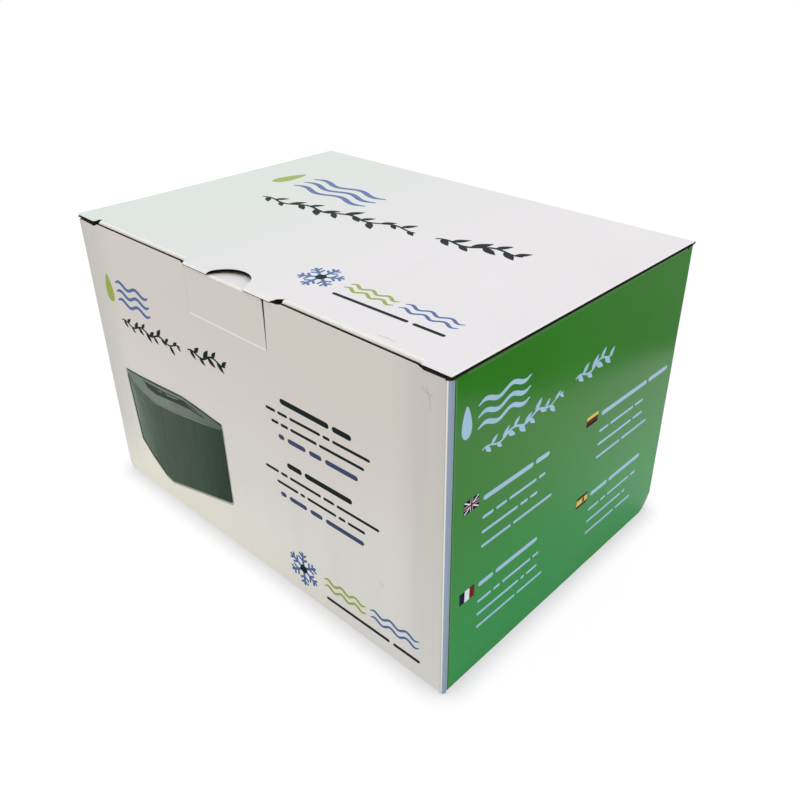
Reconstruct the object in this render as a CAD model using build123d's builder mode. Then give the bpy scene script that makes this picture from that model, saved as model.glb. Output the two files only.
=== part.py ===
from build123d import *
import os
from math import cos, radians, sin, tan

# An insulated vaccine bag packed in its tuck-top carton, lid closed and locked.
# Millimetres. X runs to the right along the front, Y to the back, Z up.
# The origin is the centre of the carton's footprint, on the surface it stands on.

os.makedirs("parts", exist_ok=True)

# ---- driving dimensions: carton ----
carton_width = 260.0
carton_depth = 183.0
carton_height = 162.0
board = 1.6  # thickness of the fluted board
play = 0.3  # gap between pieces that rest on or move past each other
lid_side_inset = 0.4

# tuck flap, hinged on the lid's front crease
tuck_left_margin = 17.5
tuck_right_margin = 15.0
tuck_length = 29.0
tuck_lean = 8.0  # degrees inward from upright
tuck_corner = 12.0
tuck_end_relief = 1.5

# slit lip of the lid, over the lock tongue, with a thumb notch
lip_left = -31.5
lip_right = 32.0
slit_height = 3.8
notch_x = 0.5
notch_radius = 13.5
notch_reach = 11.0

# lock tab in the front panel and its tongue
tab_left = -32.0
tab_right = 26.0
tab_drop = 26.2
tongue_reach = 14.5
tongue_slope = 3.0  # degrees down towards the inside
tongue_side_inset = 1.5
tongue_corner = 4.0

# dust flaps on the side panels
dust_length = 55.0
dust_front_clearance = 6.0
dust_root_clearance = 4.0
dust_free_clearance = 33.0
dust_corner = 8.0

# glue flap and bottom flaps
glue_width = 30.0
glue_taper = 12.0
bottom_side_length = 75.0
bottom_taper = 14.0

# ---- driving dimensions: bag ----
bag_side_room = 6.4  # from the bag to the carton's side panels
bag_end_room = 7.9  # from the bag to the carton's front and back panels
headroom = 27.0  # from the bag's top to the dust flaps
bag_corner = 18.0
shell = 1.2
foam = 12.0
top_foam = 10.0
lining = 0.8
lining_corner = 6.0
base_board = 2.0
rim_thickness = 0.9
rim_height = 7.0
sliver = 0.1  # ease between curved skins

# ---- driving dimensions: zip ----
zip_end_margin = 17.0
tape_width = 9.0
tape_thickness = 0.6
tape_end = 7.0
tooth_pitch = 3.2
tooth_width = 1.2
tooth_height = 1.4
chain_half_width = 3.0
core_inner = 1.3
tooth_reach = 1.0
stop_length = 2.5
stop_height = 2.0
slider_length = 11.0
slider_width = 9.0
slider_wall = 1.1
slider_roof = 1.4
lug_length = 4.4
lug_width = 1.6
lug_height = 2.7
pin_radius = 0.8
pin_ease = 0.1
pin_lift = 1.35
prong = 1.2
puller_length = 18.0
puller_thickness = 1.5
puller_hole = 1.6

# ---- driving dimensions: strap and cold packs ----
strap_width = 25.0
strap_thickness = 1.6
strap_setback = 40.0  # from the bag's back to the strap's middle
strap_bend = 10.0  # inner radius, which also lifts the strap clear of the top
strap_drop = 71.5  # from the bag's top to the strap's sewn ends
patch_height = 34.0
patch_margin = 5.0
patch_thickness = 1.2
pack_side_room = 12.4
pack_top_room = 7.7
pack_thickness = 20.0
pack_round = 8.0

# ---- levels and planes worked out from the sizes ----
left = -carton_width / 2
right = carton_width / 2
front = -carton_depth / 2
back = carton_depth / 2
lid_underside = carton_height - board
wall_top = lid_underside - play
dust_underside = wall_top - board
side_top = dust_underside - play
fold_y = front + board + play
crease_z = carton_height - tab_drop
tuck_left = left + tuck_left_margin
tuck_right = right - tuck_right_margin
flap_top = board  # top of the two outer bottom flaps
floor_z = 2 * board  # top of the side bottom flaps

bag_width = carton_width - 2 * (board + bag_side_room)
bag_depth = carton_depth - 2 * (board + bag_end_room)
bag_base = floor_z + play
bag_top = dust_underside - headroom
bag_height = bag_top - bag_base
top_panel_z = bag_top - shell
wall_foam_top = top_panel_z - top_foam
base_foam_z = bag_base + shell
base_board_z = base_foam_z + foam
lining_z = base_board_z + base_board
cavity_width = bag_width - 2 * (shell + foam + 2 * play)
cavity_depth = bag_depth - 2 * (shell + foam + 2 * play)
foam_width = bag_width - 2 * (shell + play)
foam_depth = bag_depth - 2 * (shell + play)
foam_corner = bag_corner - shell - play

zip_length = bag_width - 2 * zip_end_margin
tape_z = top_panel_z
chain_z = tape_z + tape_thickness
chain_top = chain_z + tooth_height


def save(piece, label):
    piece.part.label = label
    export_step(piece.part, f"parts/{label}.step")


def box_between(x_span, y_span):
    """A rectangle in the open sketch from its spans, low then high."""
    with Locations(((x_span[0] + x_span[1]) / 2, (y_span[0] + y_span[1]) / 2)):
        Rectangle(x_span[1] - x_span[0], y_span[1] - y_span[0])


# ================= carton: walls =================

# front panel, with the cut-out that the lock tab fills
with BuildPart() as front_panel:
    with BuildSketch(Plane.XZ.offset(-front)):
        box_between((left, right), (flap_top, wall_top))
        with Locations(((tab_left + tab_right) / 2, wall_top)):
            Rectangle(
                tab_right - tab_left + 2 * play,
                2 * (wall_top - crease_z + play),
                mode=Mode.SUBTRACT,
            )
    extrude(amount=-board)
save(front_panel, "front_panel")

with BuildPart() as back_panel:
    with BuildSketch(Plane.XZ.offset(-back)):
        box_between((left, right), (flap_top, wall_top))
    extrude(amount=board)
save(back_panel, "back_panel")

# side panels, butted between the front and back panels
for label, wall_x in (("left_panel", left), ("right_panel", right - board)):
    with BuildPart() as side_panel:
        with BuildSketch(Plane.YZ.offset(wall_x)):
            box_between((front + board, back - board), (floor_z, side_top))
        extrude(amount=board)
    save(side_panel, label)

# glue flap, folded in from the back panel and glued inside the left panel
with BuildPart() as glue_flap:
    with BuildSketch(Plane.YZ.offset(left + board)):
        with BuildLine():
            Polyline(
                (back - board, floor_z),
                (back - board - glue_width, floor_z + glue_taper),
                (back - board - glue_width, side_top - glue_taper),
                (back - board, side_top),
                close=True,
            )
        make_face()
    extrude(amount=board)
save(glue_flap, "glue_flap")

# ================= carton: bottom flaps =================

# two full-width outer flaps that meet under the middle
for label, near, far in (("bottom_flap_front", front, -play / 2), ("bottom_flap_back", play / 2, back)):
    with BuildPart() as outer_flap:
        with BuildSketch(Plane.XY):
            box_between((left, right), (near, far))
        extrude(amount=board)
    save(outer_flap, label)

# two tapered side flaps on top of them
for label, side in (("bottom_flap_left", -1), ("bottom_flap_right", 1)):
    with BuildPart() as side_flap:
        with BuildSketch(Plane.XY.offset(flap_top)):
            with BuildLine():
                Polyline(
                    (side * right, front + board),
                    (side * (right - bottom_side_length), front + board + bottom_taper),
                    (side * (right - bottom_side_length), back - board - bottom_taper),
                    (side * right, back - board),
                    close=True,
                )
            make_face()
        extrude(amount=board)
    save(side_flap, label)

# ================= carton: lid and its flaps =================

# The lid's front edge steps: cut ends over the front panel, the fold to the tuck flap set
# back behind it, and the cut lip over the lock tongue.
with BuildPart() as lid_panel:
    with BuildSketch(Plane.XY.offset(lid_underside)):
        box_between((left + lid_side_inset, right - lid_side_inset), (fold_y, back))
        box_between((left + lid_side_inset, tuck_left - tuck_end_relief), (front + play, fold_y))
        box_between((tuck_right + tuck_end_relief, right - lid_side_inset), (front + play, fold_y))
        box_between((lip_left, lip_right), (front, fold_y))
        with Locations((notch_x, front + notch_reach - notch_radius)):
            Circle(notch_radius, mode=Mode.SUBTRACT)
    extrude(amount=board)
save(lid_panel, "lid_panel")

# tuck flap: hangs from the lid's front fold, leaning inward; its top edge is cut away under
# the lip, which leaves the slit for the tongue
tuck_hinge_z = lid_underside - play
tuck_plane = Plane(
    origin=(0, fold_y, tuck_hinge_z),
    x_dir=(1, 0, 0),
    z_dir=(0, -cos(radians(tuck_lean)), -sin(radians(tuck_lean))),
)
slit_cut = (slit_height - play) / cos(radians(tuck_lean)) + board * tan(radians(tuck_lean))
with BuildPart() as tuck_flap:
    with BuildSketch(tuck_plane) as tuck_outline:
        box_between((tuck_left, tuck_right), (-tuck_length, 0))
        fillet(tuck_outline.vertices().group_by(Axis.Y)[0], tuck_corner)
        with Locations(((lip_left + lip_right) / 2, 0)):
            Rectangle(lip_right - lip_left + 2 * play, 2 * slit_cut, mode=Mode.SUBTRACT)
    extrude(amount=-board)
    # the upper edge is level, a clearance below the lid
    split(bisect_by=Plane.XY.offset(tuck_hinge_z), keep=Keep.BOTTOM)
save(tuck_flap, "tuck_flap")

# dust flaps: folded in from the side panels, under the lid; the rear edge is tapered so that
# the rising lid stays ahead of them
dust_front = fold_y + board + dust_front_clearance
for label, side in (("dust_flap_left", -1), ("dust_flap_right", 1)):
    with BuildPart() as dust_flap:
        with BuildSketch(Plane.XY.offset(dust_underside)) as dust_outline:
            with BuildLine():
                Polyline(
                    (side * right, dust_front),
                    (side * (right - dust_length), dust_front),
                    (side * (right - dust_length), back - board - dust_free_clearance),
                    (side * right, back - board - dust_root_clearance),
                    close=True,
                )
            make_face()
            free_corners = dust_outline.vertices().filter_by_position(
                Axis.X, *sorted((side * (right - dust_length - play), side * (right - dust_length + play)))
            )
            fillet(free_corners, dust_corner)
        extrude(amount=board)
    save(dust_flap, label)

# ================= carton: lock tab and tongue =================

tongue_setback = board * sin(radians(tongue_slope))
tongue_drop = (board - tongue_setback) * tan(radians(tongue_slope)) + board / cos(radians(tongue_slope))
tongue_fold_z = wall_top - tongue_drop
with BuildPart() as lock_tab:
    with BuildSketch(Plane.XZ.offset(-front)):
        box_between((tab_left, tab_right), (crease_z, tongue_fold_z - play))
    extrude(amount=-board)
save(lock_tab, "lock_tab")

tongue_plane = Plane(
    origin=(0, front + tongue_setback, wall_top),
    x_dir=(1, 0, 0),
    z_dir=(0, sin(radians(tongue_slope)), cos(radians(tongue_slope))),
)
with BuildPart() as lock_tongue:
    with BuildSketch(tongue_plane) as tongue_outline:
        box_between(
            (tab_left + tongue_side_inset, tab_right - tongue_side_inset),
            (0, tongue_reach - tongue_setback),
        )
        fillet(tongue_outline.vertices().group_by(Axis.Y)[-1], tongue_corner)
    extrude(amount=-board)
save(lock_tongue, "lock_tongue")

# ================= bag: shell, insulation, lining =================

with BuildPart() as bag_shell:
    with BuildSketch(Plane.XY.offset(bag_base)):
        RectangleRounded(bag_width, bag_depth, bag_corner)
    extrude(amount=bag_height - shell)
    with BuildSketch(Plane.XY.offset(bag_base + shell)):
        RectangleRounded(bag_width - 2 * shell, bag_depth - 2 * shell, bag_corner - shell)
    extrude(amount=bag_height, mode=Mode.SUBTRACT)
save(bag_shell, "bag_shell")


def foam_slab(label, level, height, x_span, y_span):
    """A foam slab that fills the given spans of the shell's inside, corners rounded with it."""
    with BuildPart() as slab:
        with BuildSketch(Plane.XY.offset(level)):
            RectangleRounded(foam_width, foam_depth, foam_corner)
            with Locations(((x_span[0] + x_span[1]) / 2, (y_span[0] + y_span[1]) / 2)):
                Rectangle(x_span[1] - x_span[0], y_span[1] - y_span[0], mode=Mode.INTERSECT)
        extrude(amount=height)
    save(slab, label)


half_w = foam_width / 2
half_d = foam_depth / 2
wall_height = wall_foam_top - base_board_z
foam_slab("insulation_base", base_foam_z, foam, (-half_w, half_w), (-half_d, half_d))
foam_slab("insulation_front", base_board_z, wall_height, (-half_w, half_w), (-half_d, foam - half_d))
foam_slab("insulation_back", base_board_z, wall_height, (-half_w, half_w), (half_d - foam, half_d))
side_span = (foam - half_d, half_d - foam)
foam_slab("insulation_left", base_board_z, wall_height, (-half_w, foam - half_w), side_span)
foam_slab("insulation_right", base_board_z, wall_height, (half_w - foam, half_w), side_span)
foam_slab("insulation_top_front", wall_foam_top, top_foam, (-half_w, half_w), (-half_d, -play / 2))
foam_slab("insulation_top_back", wall_foam_top, top_foam, (-half_w, half_w), (play / 2, half_d))

with BuildPart() as stiffener:
    with BuildSketch(Plane.XY.offset(base_board_z)):
        RectangleRounded(cavity_width, cavity_depth, lining_corner)
    extrude(amount=base_board)
save(stiffener, "base_board")

with BuildPart() as bag_lining:
    with BuildSketch(Plane.XY.offset(lining_z)):
        RectangleRounded(cavity_width, cavity_depth, lining_corner)
    extrude(amount=wall_foam_top - lining_z)
    with BuildSketch(Plane.XY.offset(lining_z + lining)):
        RectangleRounded(cavity_width - 2 * lining, cavity_depth - 2 * lining, lining_corner - lining)
    extrude(amount=bag_height, mode=Mode.SUBTRACT)
save(bag_lining, "bag_lining")

# lining under each half of the top, inside the lined cavity
for label, side in (("top_lining_front", -1), ("top_lining_back", 1)):
    lined_depth = cavity_depth / 2 - lining - 2 * play
    with BuildPart() as top_lining:
        with BuildSketch(Plane.XY.offset(wall_foam_top - lining)):
            with Locations((0, side * (lined_depth / 2 + play))):
                Rectangle(cavity_width - 2 * (lining + lining_corner), lined_depth)
        extrude(amount=lining)
    save(top_lining, label)

# two top panels that meet beyond the zip's ends and leave its slot between them
for label, side in (("top_panel_front", -1), ("top_panel_back", 1)):
    with BuildPart() as top_panel:
        with BuildSketch(Plane.XY.offset(top_panel_z)):
            RectangleRounded(bag_width, bag_depth, bag_corner)
            Rectangle(zip_length + 2 * tape_end, 2 * tape_width, mode=Mode.SUBTRACT)
            with Locations((0, side * bag_depth / 4)):
                Rectangle(bag_width, bag_depth / 2, mode=Mode.INTERSECT)
        extrude(amount=shell)
    save(top_panel, label)

# bound rim round the top edge
with BuildPart() as rim_binding:
    with BuildSketch(Plane.XY.offset(bag_top - rim_height)):
        rim_outer = 2 * (rim_thickness + sliver)
        RectangleRounded(bag_width + rim_outer, bag_depth + rim_outer, bag_corner + rim_outer / 2)
        RectangleRounded(
            bag_width + 2 * sliver, bag_depth + 2 * sliver, bag_corner + sliver, mode=Mode.SUBTRACT
        )
    extrude(amount=rim_height)
save(rim_binding, "rim_binding")

# ================= bag: zip =================

zip_end = zip_length / 2
for label, side in (("zip_tape_front", -1), ("zip_tape_back", 1)):
    with BuildPart() as zip_tape:
        with BuildSketch(Plane.XY.offset(tape_z)):
            with Locations((0, side * (tape_width + play / 2) / 2)):
                Rectangle(zip_length + 2 * tape_end, tape_width - play / 2)
        extrude(amount=tape_thickness)
    save(zip_tape, label)

# tooth rows: a core on each tape and teeth that mesh between the other row's
tooth_count = int((zip_length - tooth_pitch) / tooth_pitch)
for label, side in (("zip_teeth_front", -1), ("zip_teeth_back", 1)):
    core_width = chain_half_width - core_inner
    reach = core_inner + tooth_reach
    with BuildPart() as zip_teeth:
        with BuildSketch(Plane.XY.offset(chain_z)):
            with Locations((0, side * (core_inner + core_width / 2))):
                Rectangle(zip_length, core_width)
            with Locations((side * tooth_pitch / 4, side * (core_inner - reach / 2))):
                with GridLocations(tooth_pitch, 0, tooth_count, 1):
                    Rectangle(tooth_width, reach)
        extrude(amount=tooth_height)
    save(zip_teeth, label)

for label, side in (("zip_stop_open", -1), ("zip_stop_closed", 1)):
    with BuildPart() as zip_stop:
        with BuildSketch(Plane.XY.offset(chain_z)):
            with Locations((side * (zip_end + stop_length / 2), 0)):
                RectangleRounded(stop_length, 2 * chain_half_width, stop_length / 4)
        extrude(amount=stop_height)
    save(zip_stop, label)

# slider: a saddle over the tooth rows with a lug for the puller, parked at the closed end
slider_x = zip_end - play - slider_length / 2
slider_roof_z = chain_top + play
slider_top = slider_roof_z + slider_roof
pin_z = slider_top + pin_lift
with BuildPart() as zip_slider:
    with BuildSketch(Plane.XY.offset(chain_z + play)):
        with Locations((slider_x, 0)):
            RectangleRounded(slider_length, slider_width, slider_wall)
    extrude(amount=slider_top - chain_z - play)
    with BuildSketch(Plane.XY.offset(chain_z + play)):
        with Locations((slider_x, 0)):
            Rectangle(2 * slider_length, slider_width - 2 * slider_wall)
    extrude(amount=slider_roof_z - chain_z - play, mode=Mode.SUBTRACT)
    with BuildSketch(Plane.XZ.offset(-lug_width / 2)):
        with Locations((slider_x, slider_top + lug_height / 2)):
            RectangleRounded(lug_length, lug_height + 2 * play, lug_height / 3)
        with Locations((slider_x, slider_top - slider_roof / 2)):
            Rectangle(lug_length, slider_roof)
        with Locations((slider_x, pin_z)):
            Circle(pin_radius + pin_ease, mode=Mode.SUBTRACT)
    extrude(amount=lug_width)
save(zip_slider, "zip_slider")

# puller: a flat tab that forks round the lug, with a pin through the lug's eye
fork_gap = lug_width + 2 * play
puller_width = fork_gap + 2 * prong
fork_length = lug_length / 2 + play + puller_thickness
with BuildPart() as zip_puller:
    with BuildSketch(Plane.XY.offset(pin_z - puller_thickness / 2)):
        box_between(
            (slider_x - puller_length, slider_x + puller_thickness / 2),
            (-puller_width / 2, puller_width / 2),
        )
        box_between(
            (slider_x - puller_length, slider_x - fork_length),
            (-slider_width / 2, slider_width / 2),
        )
        with Locations((slider_x, 0)):
            Rectangle(2 * (fork_length - puller_thickness), fork_gap, mode=Mode.SUBTRACT)
        with Locations((slider_x - puller_length + 2 * puller_hole + puller_thickness / 2, 0)):
            Circle(puller_hole, mode=Mode.SUBTRACT)
    extrude(amount=puller_thickness)
    with BuildSketch(Plane.XZ.offset(-puller_width / 2)):
        with Locations((slider_x, pin_z)):
            Circle(pin_radius)
    extrude(amount=puller_width)
save(zip_puller, "zip_puller")

# ================= bag: strap and patches =================

strap_y = bag_depth / 2 - strap_setback
strap_foot = bag_top - strap_drop
strap_inner_x = bag_width / 2 + patch_thickness
strap_inner_z = bag_top + play + strap_bend
with BuildPart() as carry_strap:
    with BuildSketch(Plane.XZ.offset(-strap_y - strap_width / 2)) as strap_outline:
        box_between(
            (-strap_inner_x - strap_thickness, strap_inner_x + strap_thickness),
            (strap_foot, strap_inner_z + strap_thickness),
        )
        fillet(strap_outline.vertices().group_by(Axis.Y)[-1], strap_bend + strap_thickness)
    extrude(amount=strap_width)
    with BuildSketch(Plane.XZ.offset(-strap_y - strap_width / 2)) as strap_inside:
        box_between((-strap_inner_x, strap_inner_x), (strap_foot, strap_inner_z))
        fillet(strap_inside.vertices().group_by(Axis.Y)[-1], strap_bend)
    extrude(amount=strap_width, mode=Mode.SUBTRACT)
save(carry_strap, "carry_strap")

for label, side in (("strap_patch_left", -1), ("strap_patch_right", 1)):
    patch_x = bag_width / 2 if side > 0 else -strap_inner_x
    with BuildPart() as strap_patch:
        with BuildSketch(Plane.YZ.offset(patch_x)):
            with Locations((strap_y, strap_foot + patch_height / 2)):
                Rectangle(strap_width + 2 * patch_margin, patch_height + 2 * patch_margin)
        extrude(amount=patch_thickness)
    save(strap_patch, label)

# ================= cold packs =================

pack_width = cavity_width - 2 * (lining + pack_side_room)
pack_height = wall_foam_top - lining_z - 2 * lining - play - pack_top_room
pack_y = cavity_depth / 2 - lining - play - pack_thickness / 2
pack_z = lining_z + lining + play + pack_height / 2
for label, side in (("cold_pack_front", -1), ("cold_pack_back", 1)):
    with BuildPart() as cold_pack:
        with Locations((0, side * pack_y, pack_z)):
            Box(pack_width, pack_thickness, pack_height)
        fillet(cold_pack.edges(), pack_round)
    save(cold_pack, label)
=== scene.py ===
import math

import bpy
from mathutils import Matrix, Vector, noise
from mathutils.geometry import delaunay_2d_cdt


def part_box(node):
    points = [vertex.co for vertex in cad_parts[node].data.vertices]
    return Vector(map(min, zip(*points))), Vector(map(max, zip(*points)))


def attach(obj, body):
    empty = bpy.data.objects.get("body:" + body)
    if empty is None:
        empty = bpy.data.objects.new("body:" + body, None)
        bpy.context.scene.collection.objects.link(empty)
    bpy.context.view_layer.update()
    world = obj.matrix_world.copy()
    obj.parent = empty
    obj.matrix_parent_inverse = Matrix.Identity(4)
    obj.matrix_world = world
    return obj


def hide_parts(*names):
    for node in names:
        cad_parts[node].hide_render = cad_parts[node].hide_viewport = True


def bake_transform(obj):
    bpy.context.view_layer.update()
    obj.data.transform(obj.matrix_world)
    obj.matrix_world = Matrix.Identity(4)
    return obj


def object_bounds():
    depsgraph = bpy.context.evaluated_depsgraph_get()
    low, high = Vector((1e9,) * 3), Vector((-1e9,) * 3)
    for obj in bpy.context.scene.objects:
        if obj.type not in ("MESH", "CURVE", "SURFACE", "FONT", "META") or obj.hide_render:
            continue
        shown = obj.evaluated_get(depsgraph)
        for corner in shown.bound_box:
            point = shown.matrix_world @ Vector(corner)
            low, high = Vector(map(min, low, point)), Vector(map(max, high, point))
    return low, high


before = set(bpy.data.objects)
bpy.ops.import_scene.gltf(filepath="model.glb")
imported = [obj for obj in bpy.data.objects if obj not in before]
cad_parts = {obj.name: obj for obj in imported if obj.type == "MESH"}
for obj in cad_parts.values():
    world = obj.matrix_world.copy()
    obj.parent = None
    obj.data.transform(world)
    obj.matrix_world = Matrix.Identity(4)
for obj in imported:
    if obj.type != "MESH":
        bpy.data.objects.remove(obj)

CAD_BOX = [list(corner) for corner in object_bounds()]
MM = 0.001
LEFT, FRONT, BASE = (round(c / MM, 2) for c in CAD_BOX[0])
RIGHT, BACK, TOP = (round(c / MM, 2) for c in CAD_BOX[1])
WIDE, DEEP, TALL = RIGHT - LEFT, BACK - FRONT, TOP - BASE

# Corrugated board in millimetres: thickness, one liner, radius outside a fold, flute to flute.
BOARD, LINER, FOLD, PITCH = 1.6, 0.3, 1.9, 3.3

X, Y, Z = Vector((1, 0, 0)), Vector((0, 1, 0)), Vector((0, 0, 1))


def clamp(value, low=0.0, high=1.0):
    return max(low, min(high, value))


# ---------------------------------------------------------------- materials
def srgb(*rgb):
    """A colour written as it looks, 0 to 255, as the linear colour that the shader needs."""
    parts = [c / 255 for c in rgb]
    return tuple(c / 12.92 if c <= 0.04045 else ((c + 0.055) / 1.055) ** 2.4 for c in parts) + (1.0,)


def tone(colour, factor):
    return tuple(min(1.0, c * factor) for c in colour[:3]) + (1.0,)


class Tree:
    """A node tree, with short calls for its nodes."""

    def __init__(self, owner):
        owner.use_nodes = True
        self.nodes, self.links = owner.node_tree.nodes, owner.node_tree.links

    def add(self, kind, inputs=None, **settings):
        node = self.nodes.new(kind)
        for key, value in settings.items():
            setattr(node, key, value)
        for key, value in (inputs or {}).items():
            if isinstance(value, bpy.types.NodeSocket):
                self.links.new(value, node.inputs[key])
            else:
                node.inputs[key].default_value = value
        return node

    def math(self, operation, a, b=0.0, c=0.0):
        return self.add("ShaderNodeMath", {0: a, 1: b, 2: c}, operation=operation).outputs[0]

    def span(self, value, low, high, to_low=0.0, to_high=1.0, kind="LINEAR"):
        """The value, moved from one range to another."""
        inputs = {"Value": value, "From Min": low, "From Max": high, "To Min": to_low, "To Max": to_high}
        return self.add("ShaderNodeMapRange", inputs, interpolation_type=kind).outputs["Result"]

    def band(self, value, low, high):
        """0 at low, 1 at high, smooth between."""
        return self.span(value, low, high, kind="SMOOTHSTEP")

    def diffuse(self, colour):
        return self.add("ShaderNodeBsdfDiffuse", {"Color": colour}).outputs[0]

    def choose(self, fac, a, b):
        return self.add("ShaderNodeMixShader", {0: fac, 1: a, 2: b}).outputs[0]


class Shade(Tree):
    """A material made of nodes that read the piece's own place, in metres."""

    def __init__(self, name, rough=0.5, sheen=0.0, metal=0.0, specular=0.5):
        self.mat = bpy.data.materials.new(name)
        super().__init__(self.mat)
        self.bsdf = self.nodes["Principled BSDF"]
        for key, value in (("Roughness", rough), ("Sheen Weight", sheen), ("Sheen Roughness", 0.5),
                           ("Metallic", metal), ("Specular IOR Level", specular)):
            self.bsdf.inputs[key].default_value = value
        self.where = self.add("ShaderNodeTexCoord").outputs["Object"]
        self.normal = None

    def place(self, stretch=(1, 1, 1), turn=(0, 0, 0)):
        inputs = {"Vector": self.where, "Scale": stretch, "Rotation": turn}
        return self.add("ShaderNodeMapping", inputs).outputs["Vector"]

    def axis(self, name):
        return self.add("ShaderNodeSeparateXYZ", {0: self.where}).outputs[name]

    def noise(self, scale, detail=2.0, stretch=(1, 1, 1), rough=0.5):
        inputs = {"Vector": self.place(stretch), "Scale": scale, "Detail": detail, "Roughness": rough}
        return self.add("ShaderNodeTexNoise", inputs).outputs["Fac"]

    def wave(self, pitch, axis="X", turn=(0, 0, 0)):
        """Bands pitch millimetres apart. At scale 1 Blender sets them pi / 10 metres apart."""
        inputs = {"Vector": self.place(turn=turn), "Scale": math.pi / 10 / (pitch * MM)}
        return self.add("ShaderNodeTexWave", inputs, bands_direction=axis).outputs["Fac"]

    def cells(self, scale):
        return self.add("ShaderNodeTexVoronoi", {"Vector": self.where, "Scale": scale}).outputs["Distance"]

    def ramp(self, fac, *stops):
        node = self.add("ShaderNodeValToRGB", {"Fac": fac})
        elements = node.color_ramp.elements
        while len(elements) < len(stops):
            elements.new(0.5)
        for element, (position, colour) in zip(elements, stops):
            element.position, element.color = position, colour
        return node.outputs["Color"]

    def mix(self, fac, a, b, blend="MIX"):
        return self.add("ShaderNodeMix", {0: fac, 6: a, 7: b}, data_type="RGBA", blend_type=blend).outputs[2]

    def bump(self, height, distance, strength):
        inputs = {"Height": height, "Distance": distance * MM, "Strength": strength}
        if self.normal:
            inputs["Normal"] = self.normal
        self.normal = self.add("ShaderNodeBump", inputs).outputs["Normal"]

    def done(self, colour, rough=None):
        for key, socket in (("Base Color", colour), ("Roughness", rough), ("Normal", self.normal)):
            if socket:
                self.links.new(socket, self.bsdf.inputs[key])
        return self.mat

    def finish(self, colour, grain, stops, patches, bumps, gloss=None):
        """Grain in tones of the colour, patches of one more tone, bumps, and gloss that follows a source."""
        tint = self.ramp(grain, *((at, tone(colour, factor)) for at, factor in stops))
        if patches:
            source, low, high, factor = patches
            tint = self.mix(self.band(source, low, high), tint, tone(colour, factor))
        for bump in bumps:
            self.bump(*bump)
        return self.done(tint, gloss and self.span(gloss[0], 0, 1, *gloss[1:]))


def coated(name, colour, across="X", mottle=0.025, rough=0.36, specular=0.4, bands=0.03, streak=(60, 60, 3),
           foot=None, foot_top=0.075, foot_side=(0.1, -0.09), brow=None, corner=0.0, left_shade=None):
    """Printed, varnished outer paper of corrugated board. The flutes show faintly across it. foot, brow and
    drift are painted light and shade: painted light from the floor towards its foot, painted shade towards its
    top and its left; corner is painted shade at its two ends."""
    shade = Shade(name, rough=rough, specular=specular)
    across_x, height = shade.axis("X"), shade.axis("Z")
    cloud, streaks = shade.noise(9.0, 3.0), shade.noise(1.0, stretch=streak)
    tint = shade.ramp(cloud, (0.3, tone(colour, 1 - mottle)), (0.7, tone(colour, 1 + mottle)))
    tint = shade.mix(shade.band(streaks, 0.35, 0.75), tint, tone(colour, 1 - bands))
    # Painted light from the floor: the colour turns to foot towards the bottom, for the white paper at its lower left.
    if foot:
        low = shade.band(height, foot_top, 0.005)
        if foot_side:
            low = shade.math("MULTIPLY", low, shade.band(across_x, *foot_side))
        tint = shade.mix(low, tint, foot)
    # Painted shade: darker towards the top.
    if brow:
        tint = shade.mix(shade.band(height, 0.02, 0.14), tint, brow)
    # Painted shade near both vertical corners, in streaks.
    if corner:
        far = shade.band(shade.math("ABSOLUTE", across_x), 0.098, 0.122)
        far = shade.math("MULTIPLY", far, shade.band(height, -0.02, 0.045))
        tint = shade.mix(shade.math("MULTIPLY", far, streaks), tint, tone(colour, 1 - corner))
    # Painted shade, greener, towards the left.
    if left_shade:
        tint = shade.mix(shade.band(across_x, -0.12, 0.075), shade.mix(0.8, tint, left_shade), tint)
    speck = shade.band(shade.cells(120.0), 0.03, 0.015)
    tint = shade.mix(shade.math("MULTIPLY", speck, 0.25), tint, tone(colour, 0.55))
    shade.bump(shade.noise(1900.0), 0.012, 0.6)
    shade.bump(shade.wave(PITCH, across), 0.018, 0.55)
    shade.bump(cloud, 0.5, 0.35)
    return shade.done(tint, shade.span(cloud, 0, 1, rough - 0.05, rough + 0.07))


def kraft(name, *rgb):
    """Bare brown paper with its fibres."""
    shade = Shade(name, rough=0.85, specular=0.25)
    fibre, cloud = shade.noise(500.0, 4.0, (1, 1, 0.25), 0.7), shade.noise(40.0, 3.0)
    return shade.finish(srgb(*rgb), fibre, ((0.25, 0.78), (0.55, 1), (0.85, 1.18)), (cloud, 0.3, 0.8, 0.88),
                        ((fibre, 0.05, 0.7), (shade.wave(PITCH), 0.02, 0.35)))


def ink(name, *rgb, rough=0.4, specular=0.3):
    """Printed ink under the varnish, with a fine halftone and thin spots."""
    shade = Shade("ink_" + name, rough=rough, specular=specular)
    dots = shade.noise(3500.0, 1.0)
    return shade.finish(srgb(*rgb), dots, ((0.3, 0.9), (0.7, 1.12)), (shade.noise(35.0, 3.0), 0.35, 0.8, 1.08),
                        ((dots, 0.006, 0.4),))


def photo_print(name, *stops, streak=0.35):
    """A shade of the printed bag picture: a ramp away from the middle of the panel, with soft upright streaks."""
    shade = Shade("picture_bag_" + name, rough=0.42, specular=0.12)
    far = shade.span(shade.math("ABSOLUTE", shade.axis("X")), 0.106, 0.015)
    tint = shade.ramp(far, *((at, srgb(*rgb)) for at, rgb in stops))
    dark = shade.mix(1.0, tint, (0.62, 0.66, 0.62, 1), "MULTIPLY")
    for source, low, amount in ((shade.noise(1.0, 4.0, (260, 260, 26)), 0.4, streak * 2),
                                (shade.noise(38.0, 3.0), 0.45, 0.35)):
        tint = shade.mix(shade.math("MULTIPLY", shade.band(source, low, 0.7), amount), tint, dark)
    return shade.done(tint)


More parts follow.
